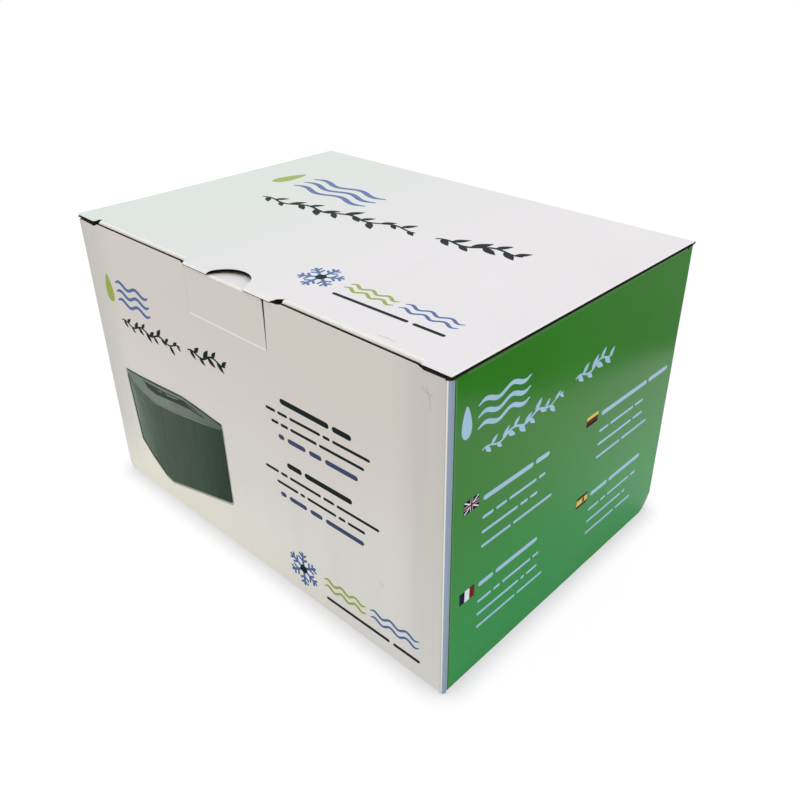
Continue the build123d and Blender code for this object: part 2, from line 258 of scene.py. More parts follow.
def cloth(name, *rgb, weave=0.9):
    """Woven nylon: two crossed yarns, a little worn."""
    shade = Shade(name, rough=0.8, sheen=0.25, specular=0.25)
    yarns = shade.math("MULTIPLY", shade.wave(weave, "X", (0.0, 0.6, 0.785)), shade.wave(weave, "Y", (0.5, 0.0, 0.785)))
    cloud = shade.noise(24.0, 4.0)
    return shade.finish(srgb(*rgb), yarns, ((0.1, 0.72), (0.8, 1.15)), (cloud, 0.35, 0.75, 1.25),
                        ((yarns, 0.12, 0.6), (cloud, 0.8, 0.4)))


def webbed(name, *rgb, rib):
    """Ribbed woven tape, its ribs across its length."""
    shade = Shade(name, rough=0.78, sheen=0.2, specular=0.25)
    ribs, fine = shade.wave(rib, "X"), shade.wave(0.7, "Y")
    return shade.finish(srgb(*rgb), shade.math("MULTIPLY", ribs, fine), ((0.0, 0.66), (0.8, 1.2)),
                        (shade.noise(900.0, 3.0), 0.4, 0.8, 1.1), ((ribs, 0.3, 0.7), (fine, 0.1, 0.5)))


def moulded(name, *rgb, rough=0.38):
    """Moulded plastic with a faint grain and scuffs."""
    shade = Shade(name, rough=rough)
    grain, cloud = shade.noise(700.0, 3.0), shade.noise(60.0, 4.0)
    return shade.finish(srgb(*rgb), grain, ((0.3, 0.9), (0.7, 1.1)), (cloud, 0.5, 0.8, 1.18), ((grain, 0.03, 0.5),),
                        (cloud, rough - 0.08, rough + 0.12))


def plated(name, *rgb):
    """Nickel-plated zinc with fine scratches."""
    shade = Shade(name, rough=0.28, metal=1.0)
    scratch = shade.noise(900.0, stretch=(1, 8, 1))
    return shade.finish(srgb(*rgb), scratch, ((0.3, 0.88), (0.7, 1.06)), None, ((scratch, 0.01, 0.4),),
                        (scratch, 0.2, 0.42))


def spongy(name, *rgb):
    """Closed-cell foam, its skin full of small cells."""
    shade = Shade(name, rough=0.9, specular=0.2)
    cells = shade.cells(900.0)
    return shade.finish(srgb(*rgb), cells, ((0.1, 0.82), (0.6, 1)), (shade.noise(30.0, 3.0), 0.4, 0.8, 0.92),
                        ((cells, 0.15, 0.6),))


def foil(name, *rgb):
    """Silvered film on thin foam, crinkled."""
    shade = Shade(name, rough=0.34, metal=0.75)
    cloud = shade.noise(120.0, 3.0)
    return shade.finish(srgb(*rgb), cloud, ((0.3, 0.85), (0.7, 1.05)), None,
                        ((shade.cells(70.0), 0.9, 0.5), (cloud, 0.3, 0.5)))


# ---------------------------------------------------------------- mesh tools
MADE = []


class Build:
    """Collects points in millimetres and faces with material numbers, then makes one mesh."""

    def __init__(self):
        self.points, self.faces, self.slots = [], [], []

    def add(self, points, *groups):
        first = len(self.points)
        self.points.extend(points)
        for faces, slot in groups:
            self.faces.extend([first + i for i in face] for face in faces)
            self.slots.extend([slot] * len(faces))

    def make(self, name, *materials, sharp=32):
        mesh = bpy.data.meshes.new(name)
        mesh.from_pydata([tuple(c * MM for c in p) for p in self.points], [], self.faces)
        for mat in materials:
            mesh.materials.append(mat)
        mesh.polygons.foreach_set("material_index", self.slots)
        mesh.polygons.foreach_set("use_smooth", [True] * len(self.faces))
        mesh.update()
        mesh.set_sharp_from_angle(angle=math.radians(sharp))
        made = bpy.data.objects.new(name, mesh)
        bpy.context.collection.objects.link(made)
        MADE.append(made)
        return made


def carried(piece, *nodes, body="carton", slot="white_board"):
    """Sets a piece on its body and hides the nodes that it stands for; slot is not used."""
    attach(piece, body)
    if nodes:
        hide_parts(*nodes)
    return piece


def bending(piece, start, end):
    """Bakes the piece's place into its mesh. start and end, places in millimetres, are turned to metres and go no
    further.
    """
    start, end = (tuple(c * MM for c in place) for place in (start, end))
    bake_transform(piece)


class Face:
    """A flat side: u and v run along it in millimetres, w stands out of it."""

    def __init__(self, origin, along, up, lift=None, pinch=None):
        self.origin, self.pinch = Vector(origin), pinch
        self.along, self.up = Vector(along).normalized(), Vector(up).normalized()
        self.out = self.along.cross(self.up)
        self.lift = lift or (lambda u, v: 0.0)

    def at(self, u, v, w=0.0):
        """The place of u, v, w. Where the board is pinched, its outside goes in and its inside stays."""
        lift = self.lift(u, v) - (self.pinch(u, v) * max(0.0, 1 + w / BOARD) if self.pinch else 0.0)
        return self.origin + self.along * u + self.up * v + self.out * (w + lift)


def rippled(amount, across, along, seed, base=0.0):
    """A lift that wanders a little."""
    return lambda u, v: base + amount * noise.noise(Vector((u * across, v * along, seed)))


def swell(wide, tall, amount):
    """A lift that is pinned at the edges."""
    def lift(u, v):
        return amount * (math.sin(math.pi * clamp(u / wide)) * math.sin(math.pi * clamp(abs(v) / tall))) ** 1.2
    return lift


def toward(degrees):
    return Vector((math.cos(math.radians(degrees)), math.sin(math.radians(degrees))))


def left_of(way):
    return Vector((-way.y, way.x))


def arc(centre, radius, start, end, steps=10):
    return [Vector(centre) + toward(start + (end - start) * k / steps) * radius for k in range(steps + 1)]


def outline(*corners, steps=5):
    """A closed outline. A corner's third number is its radius."""
    points = []
    for i, (u, v, *rounding) in enumerate(corners):
        here = Vector((u, v))
        if not rounding:
            points.append(here)
            continue
        a = (Vector(corners[i - 1][:2]) - here).normalized()
        b = (Vector(corners[(i + 1) % len(corners)][:2]) - here).normalized()
        half, radius = a.angle(b) / 2, rounding[0]
        centre = here + (a + b).normalized() * radius / math.sin(half)
        s, e = (here + way * radius / math.tan(half) - centre for way in (a, b))
        turn = math.degrees(math.atan2(s.x * e.y - s.y * e.x, s.dot(e)))
        first = math.degrees(math.atan2(s.y, s.x))
        points += arc(centre, radius, first, first + turn, steps)
    return points


def rect(u0, v0, u1, v1, *r):
    return outline((u0, v0, *r), (u1, v0, *r), (u1, v1, *r), (u0, v1, *r))


def turned(points):
    """The outline, counterclockwise."""
    area = sum(points[i - 1][0] * p[1] - p[0] * points[i - 1][1] for i, p in enumerate(points))
    return list(points) if area > 0 else list(points)[::-1]


def inset(points, distance):
    """The outline moved inwards."""
    ring = [Vector(p[:2]) for p in turned(points)]
    made = []
    for i, here in enumerate(ring):
        a, b = here - ring[i - 1], ring[(i + 1) % len(ring)] - here
        if min(a.length, b.length) < 1e-6:
            continue
        normal = left_of(a).normalized()
        side = normal + left_of(b).normalized()
        if side.length >= 0.2:
            side.normalize()
            made.append(here + side * distance / max(0.5, side.dot(normal)))
    return made


def dense(points, step):
    """The outline with points no more than about a step apart."""
    made = []
    for i, p in enumerate(points):
        a, b = Vector(p[:2]), Vector(points[(i + 1) % len(points)][:2])
        count = max(1, int((b - a).length / step + 0.5))
        made.extend(a.lerp(b, k / count) for k in range(count))
    return made


def triangles(adds, cuts, step, extra=()):
    """Points and triangles that fill the outlines added, less those cut, with points inside a step apart."""
    points, rings, edge = [], [], {}
    for ring in list(adds) + list(cuts):
        ring = dense(turned(ring), step)
        rings.append(list(range(len(points), len(points) + len(ring))))
        points.extend(ring)
    for p in points:
        edge.setdefault((int(p.x // step), int(p.y // step)), []).append(p)
    low = Vector((min(p.x for p in points), min(p.y for p in points)))
    high = Vector((max(p.x for p in points), max(p.y for p in points)))

    def clear(p, distance):
        i, j = int(p.x // step), int(p.y // step)
        near = [q for a in (-1, 0, 1) for b in (-1, 0, 1) for q in edge.get((i + a, j + b), [])]
        return all((p - q).length > distance for q in near)

    inner = [low + Vector((i * step, (j + 0.5 * (i % 2)) * step))
             for i in range(1, int((high.x - low.x) / step) + 1) for j in range(1, int((high.y - low.y) / step) + 1)]
    inner = [p for p in inner if p.y < high.y and clear(p, 0.55 * step)]
    inner += [p for p in map(Vector, extra) if low.x < p.x < high.x and low.y < p.y < high.y and clear(p, 0.4)]
    flat, _, faces, _, _, origin = delaunay_2d_cdt(points + inner, [], rings, 1, 1e-5)
    return flat, [f for f, ids in zip(faces, origin) if ids and max(ids) < len(adds)]


def quads(rows, size, loop=True):
    """Faces between rows of points. loop joins the last point of each row to its first."""
    return [(k * size + m, k * size + (m + 1) % size, (k + 1) * size + (m + 1) % size, (k + 1) * size + m)
            for k in range(rows - 1) for m in range(size if loop else size - 1)]


def other_way(faces):
    """Faces that look the other way, from the same first point."""
    return [(a, d, c, b) for a, b, c, d in faces]


def plate(build, face, adds, cuts=(), low=-BOARD, high=0.0, step=6.0, slots=(0, 0, 0), extra=()):
    """A thin closed solid on a face: the outlines added, less those cut."""
    flat, kept = triangles(adds, cuts, step, extra)
    used = sorted({i for f in kept for i in f})
    number = {old: new for new, old in enumerate(used)}
    kept = [[number[i] for i in f] for f in kept]
    count = len(used)
    points = [face.at(flat[i].x, flat[i].y, w) for w in (high, low) for i in used]
    directed = {(f[k], f[(k + 1) % len(f)]) for f in kept for k in range(len(f))}
    rim = sorted((a, b) for a, b in directed if (b, a) not in directed)
    sides = [(a + count, b + count, b, a) for a, b in rim]
    under = [[i + count for i in reversed(f)] for f in kept]
    build.add(points, (kept, slots[0]), (sides, slots[1]), (under, slots[2]))


def flutes(build, face, start, end, slot):
    """The wavy middle paper of corrugated board, seen at a cut edge that runs across it."""
    a, b = Vector(start), Vector(end)
    length = (b - a).length
    inward = left_of((b - a).normalized())
    count = max(8, int(length / PITCH * 10))
    points = []
    for k in range(count + 1):
        w = (BOARD / 2 - LINER - 0.05) * math.sin(2 * math.pi * length * k / count / PITCH) - BOARD / 2
        for back_by, lift in ((0.12, 0.09), (0.12, -0.09), (2.2, -0.09), (2.2, 0.09)):
            p = a.lerp(b, k / count) + inward * back_by
            points.append(face.at(p.x, p.y, w + lift))
    ends = [(3, 2, 1, 0), tuple(range(count * 4, count * 4 + 4))]
    build.add(points, (quads(count + 1, 4) + ends, slot))


def board(name, face, shape, materials, cuts=(), open_edges=(), body="carton", slot="white_board", core_cuts=(),
          extra=()):
    """Corrugated board: outer paper, inner paper, and between them a core set back from the cut edges."""
    build = Build()
    outer, cut, inner, hollow = 0, 1, 2, 3
    set_back, overlap = 1.8, 0.03
    plate(build, face, [shape], cuts, -LINER, 0.0, slots=(outer, outer, hollow), extra=extra)
    plate(build, face, [shape], cuts, -BOARD, LINER - BOARD, slots=(hollow, cut, inner), extra=extra)
    plate(build, face, [inset(shape, set_back)], [inset(c, -set_back) for c in cuts] + list(core_cuts),
          LINER - BOARD - overlap, overlap - LINER, 9.0, (hollow,) * 3, extra)
    for start, end in open_edges:
        flutes(build, face, start, end, cut)
    return carried(build.make(name, *materials), name, body=body, slot=slot)


def fold(name, start, end, first, second, materials, radius=FOLD, wobble=0.12, steps=7, seed=0.0, marks=()):
    """The rounded outside of a fold. start and end are the ends of the line where the two faces would meet,
    first and second the directions that those faces look in. A new paper begins at each mark."""
    build = Build()
    a, b = Vector(start), Vector(end)
    count = max(2, int((b - a).length / 5))
    ways = [first * t.x + second * t.y for t in (toward(90 * m / steps) for m in range(steps + 1))]
    points = []
    for k in range(count + 1):
        here = a.lerp(b, k / count)
        jitter = wobble * noise.noise(here * 0.07 + Vector((seed, 0, 0))) * min(1.0, min(k, count - k) / 2)
        centre = here - (first + second) * radius
        points += [centre + way * (radius + jitter * math.sin(math.pi * m / steps)) for m, way in enumerate(ways)]
        points += [centre + way * max(0.25, radius - BOARD) for way in reversed(ways)]
    size = 2 * steps + 2
    under, papers = [], [[] for _ in range(len(marks) + 1)]
    for i, quad in enumerate(quads(count + 1, size)):
        m = i % size
        (under if m >= steps else papers[sum(m >= mark for mark in marks)]).append(quad)
    under += [tuple(range(size))[::-1], tuple(range(count * size, count * size + size))]
    turn = -1 if (b - a).dot(first.cross(second)) > 0 else 1
    groups = [(under, 1)] + [(paper, k + (k > 0)) for k, paper in enumerate(papers)]
    build.add(points, *(([face[::turn] for face in faces], slot) for faces, slot in groups))
    return build.make(name, *materials, sharp=50)


# ---------------------------------------------------------------- printing
def capsule(a, b, thick):
    """A bar with round ends."""
    a, b = Vector(a), Vector(b)
    angle = math.degrees(math.atan2(b.y - a.y, b.x - a.x))
    return arc(b, thick / 2, angle - 90, angle + 90, 6) + arc(a, thick / 2, angle + 90, angle + 270, 6)


def stroke(points, widths):
    """A pen line of changing width along points."""
    points = [Vector(p) for p in points]
    right_side, left_side = [], []
    for i, p in enumerate(points):
        way = (points[min(i + 1, len(points) - 1)] - points[max(i - 1, 0)]).normalized()
        side = left_of(way) * widths[i] / 2
        right_side.append(p - side)
        left_side.append(p + side)
    return right_side + left_side[::-1]


def ripples(a, b, rows, pitch, height, crests, thick):
    """Calm pen waves one above the other, thicker on the way down than on the way up."""
    shapes, count = [], crests * 22
    for row in range(rows):
        start, end = (Vector((u, v + row * pitch)) for u, v in (a, b))
        side = left_of((end - start).normalized())
        points, widths = [], []
        for t in (k / count for k in range(count + 1)):
            angle = 2 * math.pi * crests * t
            taper = min(1.0, 6 * t + 0.35, 6 * (1 - t) + 0.35)
            points.append(start.lerp(end, t) + side * height / 2 * math.sin(angle) * min(1.0, taper + 0.2))
            widths.append(thick * (0.8 + 0.2 * (0.5 - 0.5 * math.cos(angle)) ** 1.5) * taper)
        shapes.append(stroke(points, widths))
    return shapes


def sprig(a, b, size, leaves, thick):
    """A wavy stem with pointed leaves along both its sides."""
    a, b = Vector(a), Vector(b)
    way = (b - a).normalized()
    side = left_of(way)

    def stem(t):
        return a.lerp(b, t) + side * size * 0.12 * math.sin(2 * math.pi * (t * leaves / 4.6 + 0.1))

    run = [k / 40 for k in range(41)]
    shapes = [stroke([stem(t) for t in run], [thick * (0.55 + 0.45 * math.sin(math.pi * t)) for t in run])]
    half = [(m / 8, 0.2 * math.sin(math.pi * (m / 8) ** 0.8)) for m in range(9)]
    for k in range(leaves):
        t = (k + 0.55) / (leaves + 0.3)
        lean = toward((1 if k % 2 else -1) * (48 - 6 * (k * 5 % 3)))
        grown = size * (0.5 + 0.18 * math.sin(math.pi * t)) * (1 - 0.12 * (k * 7 % 3))
        reach = (way * lean.x + side * lean.y) * grown
        above = [stem(t) + reach * f + left_of(reach) * w for f, w in half]
        below = [stem(t) + reach * f - left_of(reach) * w for f, w in half[1:-1]]
        shapes.append(above + below[::-1])
    return shapes


def drop(centre, wide, tall, lean):
    """A leaf shape, pointed at the top."""
    points = []
    for way in (toward(15 * k) for k in range(24)):
        v = way.x * tall / 2
        points.append(Vector(centre) + Vector((way.y * wide / 2 * (1 - 0.42 * way.x) + lean * v, v)))
    return points


def flake(centre, radius, arm, spin):
    """The bars of a six-armed snow crystal."""
    centre, bars = Vector(centre), []
    for degrees in range(spin, spin + 360, 60):
        way = toward(degrees)
        bars.append(capsule(centre + way * 0.6, centre + way * (radius - arm / 2), arm))
        for at, reach in ((0.45, 0.3), (0.72, 0.24)):
            root = centre + way * radius * at
            bars += [capsule(root, root + toward(degrees + turn) * radius * reach, arm * 0.85) for turn in (58, -58)]
    return bars


def words(a, b, thick, lengths, gap=1.6):
    """A line of plain bars, as long as lengths say in proportion."""
    a, b = Vector(a), Vector(b)
    way, room = (b - a).normalized(), (b - a).length - gap * (len(lengths) - 1)
    made, at = [], thick / 2
    for share in lengths:
        size = room * share / sum(lengths)
        made.append(capsule(a + way * at, a + way * (at + size - thick), thick))
        at += size + gap
    return made


def printed(name, face, *layers, body="carton", slot="white_board"):
    """Ink, or painted highlight and shade, on a face: layers of (material, outlines), each a hair above the one before.
    """
    build, inks = Build(), []
    for level, (mat, shapes) in enumerate(layers):
        if mat not in inks:
            inks.append(mat)
        plate(build, face, shapes, (), -0.03, 0.04 + 0.025 * level, 5.0, (inks.index(mat),) * 3)
    return carried(build.make(name, *inks), body=body, slot=slot)


# ---------------------------------------------------------------- papers and inks, some with painted light and shade
# The carton's white paper: painted light from the floor at its lower left, painted shade towards its top and at its
# ends.
paper = coated("paper_white", srgb(236, 234, 229), corner=0.35, foot=srgb(255, 252, 238), brow=srgb(226, 219, 212))
# The lid's paper, with painted shade that darkens its left part and turns it greener.
paper_lid = coated("paper_lid", srgb(240, 236, 239), mottle=0.02, streak=(40, 3, 40), left_shade=srgb(218, 228, 219))
# The green paper turns lighter and bluer towards its foot: painted light and reflection from the floor.
green = coated("paper_green", srgb(41, 130, 14), "Y", mottle=0.05, rough=0.16, specular=0.43, bands=0.06,
               streak=(60, 40, 3), foot=srgb(8, 151, 64), foot_top=0.12, foot_side=None)
# A painted highlight: lighter paper for the bright outsides of folds and creases.
fold_highlight = coated("paper_fold_highlight", srgb(247, 245, 240), rough=0.3)
# The front's white paper where it wraps onto a side, painted in blue-grey shade.
strip_shade = coated("paper_corner_strip_shade", srgb(150, 168, 190), "Y")
# Grey for scuffs, which are wear, and for the thin line of painted shade where a corner fold begins.
crease_shade_and_scuff_grey = coated("paper_crease_shade_and_scuff_grey", srgb(186, 184, 178))
# A painted highlight: near-white for bright edges.
bright = coated("paper_edge_highlight", srgb(252, 252, 252), rough=0.3)
brown = kraft("kraft_inner", 150, 112, 78)
# Cut edges: kraft, darkened as painted shade of the gaps they face; the lid's edges darker still, also painted shade.
edge = kraft("kraft_edge", 58, 45, 36)
edge_dark = kraft("kraft_edge_shaded", 44, 36, 31)
hollow_dark = kraft("flute_shadow", 32, 26, 23)
lime_ink = ink("lime", 150, 172, 52)
blue_ink = ink("blue", 60, 100, 160)
dark_ink = ink("dark", 15, 29, 30, rough=0.5, specular=0.06)
# White print painted in the pale blue it shows in cool shade, for the green sides.
shaded_white_ink = ink("white_in_cool_shade", 170, 205, 232, rough=0.3)
sky_ink = ink("heading_blue", 38, 54, 98)
line_green = ink("line_green", 28, 78, 30)
pale_green = ink("edge_green", 72, 148, 62)
sage_ink = ink("bag_top", 120, 132, 122, rough=0.45)
deep_ink = ink("bag_dark", 30, 48, 40, specular=0.12)
soft_ink = ink("shadow_grey", 172, 170, 164)
white_ink = ink("white", 236, 244, 255)
gold_ink = ink("gold", 226, 204, 96)
red_ink = ink("red", 116, 2, 16, specular=0.08)
maroon_ink = ink("maroon", 70, 6, 8, specular=0.08)
navy_ink = ink("navy", 3, 4, 40, specular=0.08)
black_ink = ink("black", 4, 4, 5, specular=0.08)

BOARDS = (paper, edge, brown, hollow_dark)
LIDS = (paper_lid, edge_dark, brown, hollow_dark)
GREENS = (green, edge, brown, hollow_dark)

# ---------------------------------------------------------------- the carton's walls
front = Face((LEFT, FRONT, TOP), X, Z, swell(WIDE, TALL, 0.7))
back = Face((RIGHT, BACK, TOP), -X, Z, swell(WIDE, TALL, 0.7))
right = Face((RIGHT, FRONT, TOP), Y, Z, swell(DEEP, TALL, 0.6))
left = Face((LEFT, BACK, TOP), -Y, Z, swell(DEEP, TALL, 0.6))

# Places of cuts and creases, from the left, the front or the top of the carton.
FOOT_FOLD = 1.1
WALL_TOP, SIDE_TOP, STEP_TOP, SHOULDER = 160.1 - TOP, 158.2 - TOP, -1.05, -2.2
TAB_LEFT, TAB_RIGHT, TAB_FOOT, TAB_TOP = -32.0 - LEFT, 26.0 - LEFT, 135.8 - TOP, 159.0 - TOP
LIP_LEFT, LIP_RIGHT = -31.5 - LEFT, 32.0 - LEFT
TUCK_LEFT, TUCK_RIGHT = -112.5 - LEFT, 115.0 - LEFT
END_LEFT, END_RIGHT = -114.0 - LEFT, 116.5 - LEFT
FRONT_FOLD, BACK_FOLD = -89.6 - FRONT, 1.3
NOTCH, NOTCH_HALF = (0.5 - LEFT, -94.0 - FRONT), 14

SLIT, GAP = 0.45, 0.12
tab_cut = outline((TAB_LEFT - GAP, TAB_FOOT - 0.15), (TAB_RIGHT + SLIT, TAB_FOOT - 0.15),
                  (TAB_RIGHT + SLIT + 0.55, WALL_TOP + 3), (TAB_LEFT - GAP, WALL_TOP + 3))
front_shape = outline(
    (FOLD, FOOT_FOLD - TALL), (WIDE - FOLD, FOOT_FOLD - TALL), (WIDE - FOLD, WALL_TOP, 1.0),
    (END_RIGHT + 1, WALL_TOP - 0.2), (TUCK_RIGHT - 1, STEP_TOP), (LIP_RIGHT + 6, STEP_TOP), (LIP_RIGHT + 3, WALL_TOP),
    (LIP_LEFT - 2, WALL_TOP), (LIP_LEFT - 3.5, STEP_TOP), (TUCK_LEFT + 2, STEP_TOP), (TUCK_LEFT - 1, WALL_TOP - 0.6),
    (8, WALL_TOP - 0.1), (FOLD, WALL_TOP, 1.0))
board("front_panel", front, front_shape, BOARDS, [tab_cut], [
    ((TAB_LEFT - 5, STEP_TOP), (TUCK_LEFT + 3, STEP_TOP)), ((TUCK_RIGHT - 2, STEP_TOP), (LIP_RIGHT + 7, STEP_TOP)),
    ((TUCK_LEFT - 2, WALL_TOP - 0.4), (FOLD + 2, WALL_TOP - 0.2)),
    ((WIDE - FOLD - 2, WALL_TOP), (END_RIGHT + 2, WALL_TOP - 0.2))])
board("back_panel", back, rect(FOLD, FOOT_FOLD - TALL, WIDE - FOLD, -1.3), BOARDS)

# The side panels reach up to the dust flaps' folds. Strips of the front's ink show beside their front folds;
# the first, the front's white, is painted in blue-grey shade.
SIDE_BASE = 0.4
SIDE_FOOT = SIDE_BASE + FOOT_FOLD - TALL
FLAP_LONG = 167.9
STRIPS = ((FOLD + 0.02, strip_shade), (2.7, line_green), (3.2, pale_green), (3.9, None))
for name, face, v0 in (("right_panel", right, -82.0 - FRONT), ("left_panel", left, BACK - 85.9)):
    v1 = v0 + FLAP_LONG
    board(name, face, outline(
        (FOLD, SIDE_FOOT), (DEEP - FOLD, SIDE_FOOT), (DEEP - FOLD, SHOULDER, 1), (v1 + 0.3, SHOULDER),
        (v1 + 0.1, -2 * FOLD), (v0 - 0.1, -2 * FOLD), (v0 - 0.3, SHOULDER), (FOLD, SHOULDER, 1)), GREENS,
          slot="green_board")
    printed(name + "_bleed", face, *((mat, [rect(u0, SIDE_FOOT + 0.1, u1, -2.4)])
                                     for (u0, mat), (u1, _) in zip(STRIPS, STRIPS[1:])), slot="green_board")

CORNERS = (("front_right", RIGHT, FRONT, strip_shade), ("front_left", LEFT, FRONT, green),
           ("back_right", RIGHT, BACK, green), ("back_left", LEFT, BACK, strip_shade))
# Each corner fold: a thin line of painted shade, a painted highlight, then the side's paper, either green or the
# front's white in painted blue-grey shade.
for k, (name, x, y, side_paper) in enumerate(CORNERS):
    first, second = (Y if y == BACK else -Y), (X if x == RIGHT else -X)
    carried(fold("corner_" + name, (x, y, 0.3), (x, y, 159.8), first, second,
                 (crease_shade_and_scuff_grey, brown, fold_highlight, side_paper), seed=k * 9.0, marks=(1, 3), steps=9))


# ---------------------------------------------------------------- the lid and its flaps
def warp(u, v):
    """The lid crowns a little and its front left corner has lifted."""
    crown = 0.45 * math.sin(math.pi * clamp(u / WIDE)) * math.sin(math.pi * clamp(v / DEEP))
    return crown + 0.5 * max(0.0, 1 - u / 26) * max(0.0, 1 - v / 40)


def lip_curl(u, v):
    """The lip's edge bends down over the tab."""
    return 1.2 * max(0.0, 1 - (v + 0.9) / 3.0) ** 2 if LIP_LEFT - 1 < u < LIP_RIGHT + 1 else 0.0


lid = Face((LEFT, FRONT, TOP), X, Y, warp, lip_curl)
EDGE_V, FOLD_V = 0.3, FRONT_FOLD + FOLD - 0.15
lid_shape = outline(
    (-0.5, EDGE_V, 0.5), (END_LEFT - 0.5, EDGE_V), (END_LEFT + 0.6, 1.6), (END_LEFT + 0.2, 3.6), (END_LEFT + 1.6, 5.0),
    (TUCK_LEFT + 0.9, FOLD_V), (LIP_LEFT - 1.2, FOLD_V), (LIP_LEFT, FRONT_FOLD + 0.6), (LIP_LEFT, -0.9, 0.6),
    (LIP_RIGHT, -0.9, 1.6), (LIP_RIGHT + 2.2, 1.8), (LIP_RIGHT + 5.2, FRONT_FOLD + FOLD + 0.4), (LIP_RIGHT + 6.4, FOLD_V),
    (TUCK_RIGHT + 0.9, FOLD_V), (TUCK_RIGHT + 1.2, EDGE_V), (WIDE + 0.4, EDGE_V, 0.5),
    (WIDE + 0.4, DEEP - BACK_FOLD), (-0.5, DEEP - BACK_FOLD))
board("lid_panel", lid, lid_shape, LIDS, [arc(NOTCH, 13.5, -10, 190, 28)],
      [((0.8, EDGE_V), (END_LEFT - 0.3, EDGE_V)), ((END_RIGHT + 0.3, EDGE_V), (WIDE - 0.5, EDGE_V))], "lid",
      core_cuts=[rect(LIP_LEFT - 1, -3, LIP_RIGHT + 8, 3.4)],
      extra=[(LIP_LEFT + 3.2 * k, v) for k in range(21) for v in (-0.3, 0.3, 0.95, 1.6, 2.3, 3.2, 4.6)])

TUCK_Y = FRONT + FRONT_FOLD
# The lid's front folds carry the painted highlight.
for name, u0, u1 in (("left", TUCK_LEFT + 0.9, LIP_LEFT - 1.0), ("right", LIP_RIGHT + 5.0, TUCK_RIGHT + 0.9)):
    piece = fold("lid_fold_" + name, (LEFT + u0, TUCK_Y, TOP), (LEFT + u1, TUCK_Y, TOP), -Y, Z, (fold_highlight, brown),
                 wobble=0.2, seed=u0)
    bending(piece, (0, TUCK_Y + FOLD, TOP), (0, TUCK_Y, TOP - FOLD))
piece = fold("lid_back_fold", (LEFT - 0.5, BACK, TOP), (RIGHT + 0.4, BACK, TOP), Y, Z, (paper_lid, edge_dark),
             radius=BACK_FOLD, seed=3.0)
bending(piece, (0, BACK, TOP - BACK_FOLD), (0, BACK - BACK_FOLD, TOP))
# Painted highlight along the lid's right edge and along the lip's front edge beside the notch.
printed("lid_edge_highlight", lid, (bright, [
    rect(WIDE - 0.35, 1.0, WIDE + 0.3, DEEP - 2.5), rect(LIP_LEFT + 0.5, -0.8, NOTCH[0] - NOTCH_HALF, 0.2),
    rect(NOTCH[0] + NOTCH_HALF, -0.8, LIP_RIGHT - 2, 0.2)]), body="lid")

# The tuck flap leans back from the front panel. A slot at its root takes the lock tongue.
LEAN = toward(8)
tuck = Face((LEFT, TUCK_Y, TOP), X, (0, -LEAN.y, LEAN.x))
TUCK_END, SLOT_FOOT = -29 - FOLD, -3.8 - BOARD
board("tuck_flap", tuck, outline(
    (TUCK_LEFT, -FOLD), (TUCK_LEFT, TUCK_END, 12), (TUCK_RIGHT, TUCK_END, 12), (TUCK_RIGHT, -FOLD),
    (LIP_RIGHT + 4, -FOLD), (LIP_RIGHT + 2, SLOT_FOOT), (LIP_LEFT, SLOT_FOOT), (LIP_LEFT, -FOLD)), LIDS,
    open_edges=[((TUCK_LEFT + 13, TUCK_END), (TUCK_RIGHT - 13, TUCK_END))], body="tuck_flap")

DUST_Z, DUST_REACH = 160.1, RIGHT - 75.0
DUST_FRONT, DUST_BACK, DUST_END = (y - FRONT for y in (-82.0, 85.9, 56.9))
for name, x, sign in (("dust_flap_left", LEFT, 1), ("dust_flap_right", RIGHT, -1)):
    board(name, Face((x, FRONT, DUST_Z), X, Y), outline(
        (sign * FOLD, DUST_FRONT), (sign * DUST_REACH, DUST_FRONT, 8), (sign * DUST_REACH, DUST_END, 8),
        (sign * FOLD, DUST_BACK)), LIDS, body=name)
    piece = fold(name + "_fold", (x, DUST_FRONT + FRONT, DUST_Z), (x, DUST_BACK + FRONT, DUST_Z), X * -sign, Z,
                 (green, brown), seed=x)
    bending(piece, (x, 0, DUST_Z - FOLD), (x + sign * FOLD, 0, DUST_Z))

# ---------------------------------------------------------------- the lock tab and its tongue
board("lock_tab", front, outline((TAB_LEFT, TAB_FOOT + 0.35), (TAB_RIGHT, TAB_FOOT + 0.35),
                                 (TAB_RIGHT - SLIT, TAB_TOP), (TAB_LEFT, TAB_TOP)), BOARDS, body="lock_tab")
SLOPE, TONGUE_Z, TONGUE_END, BEND = toward(3), 160.1, 14.4, 1.0
tongue = Face((LEFT, FRONT, TONGUE_Z), X, (0, SLOPE.x, -SLOPE.y))
board("lock_tongue", tongue, outline((TAB_LEFT + 1.5, BEND), (TAB_RIGHT - 1.5, BEND),
                                     (TAB_RIGHT - 1.5, TONGUE_END, 4), (TAB_LEFT + 1.5, TONGUE_END, 4)), LIDS,
      open_edges=[((TAB_RIGHT - 6, TONGUE_END), (TAB_LEFT + 6, TONGUE_END))], body="lock_tongue")
# The tongue's fold carries the painted highlight.
piece = fold("lock_fold", (LEFT + TAB_LEFT + 0.4, FRONT, TONGUE_Z), (LEFT + TAB_RIGHT - 0.9, FRONT, TONGUE_Z), -Y,
             Vector((0, SLOPE.y, SLOPE.x)), (fold_highlight, brown), radius=BEND, seed=5.0)
bending(piece, (0, FRONT, TONGUE_Z - BEND), (0, FRONT + BEND, TONGUE_Z))


def ragged(k, step, row):
    """A little up or down, as paper tears."""
    return 0.22 * noise.noise(Vector((k * step, row, 0)))


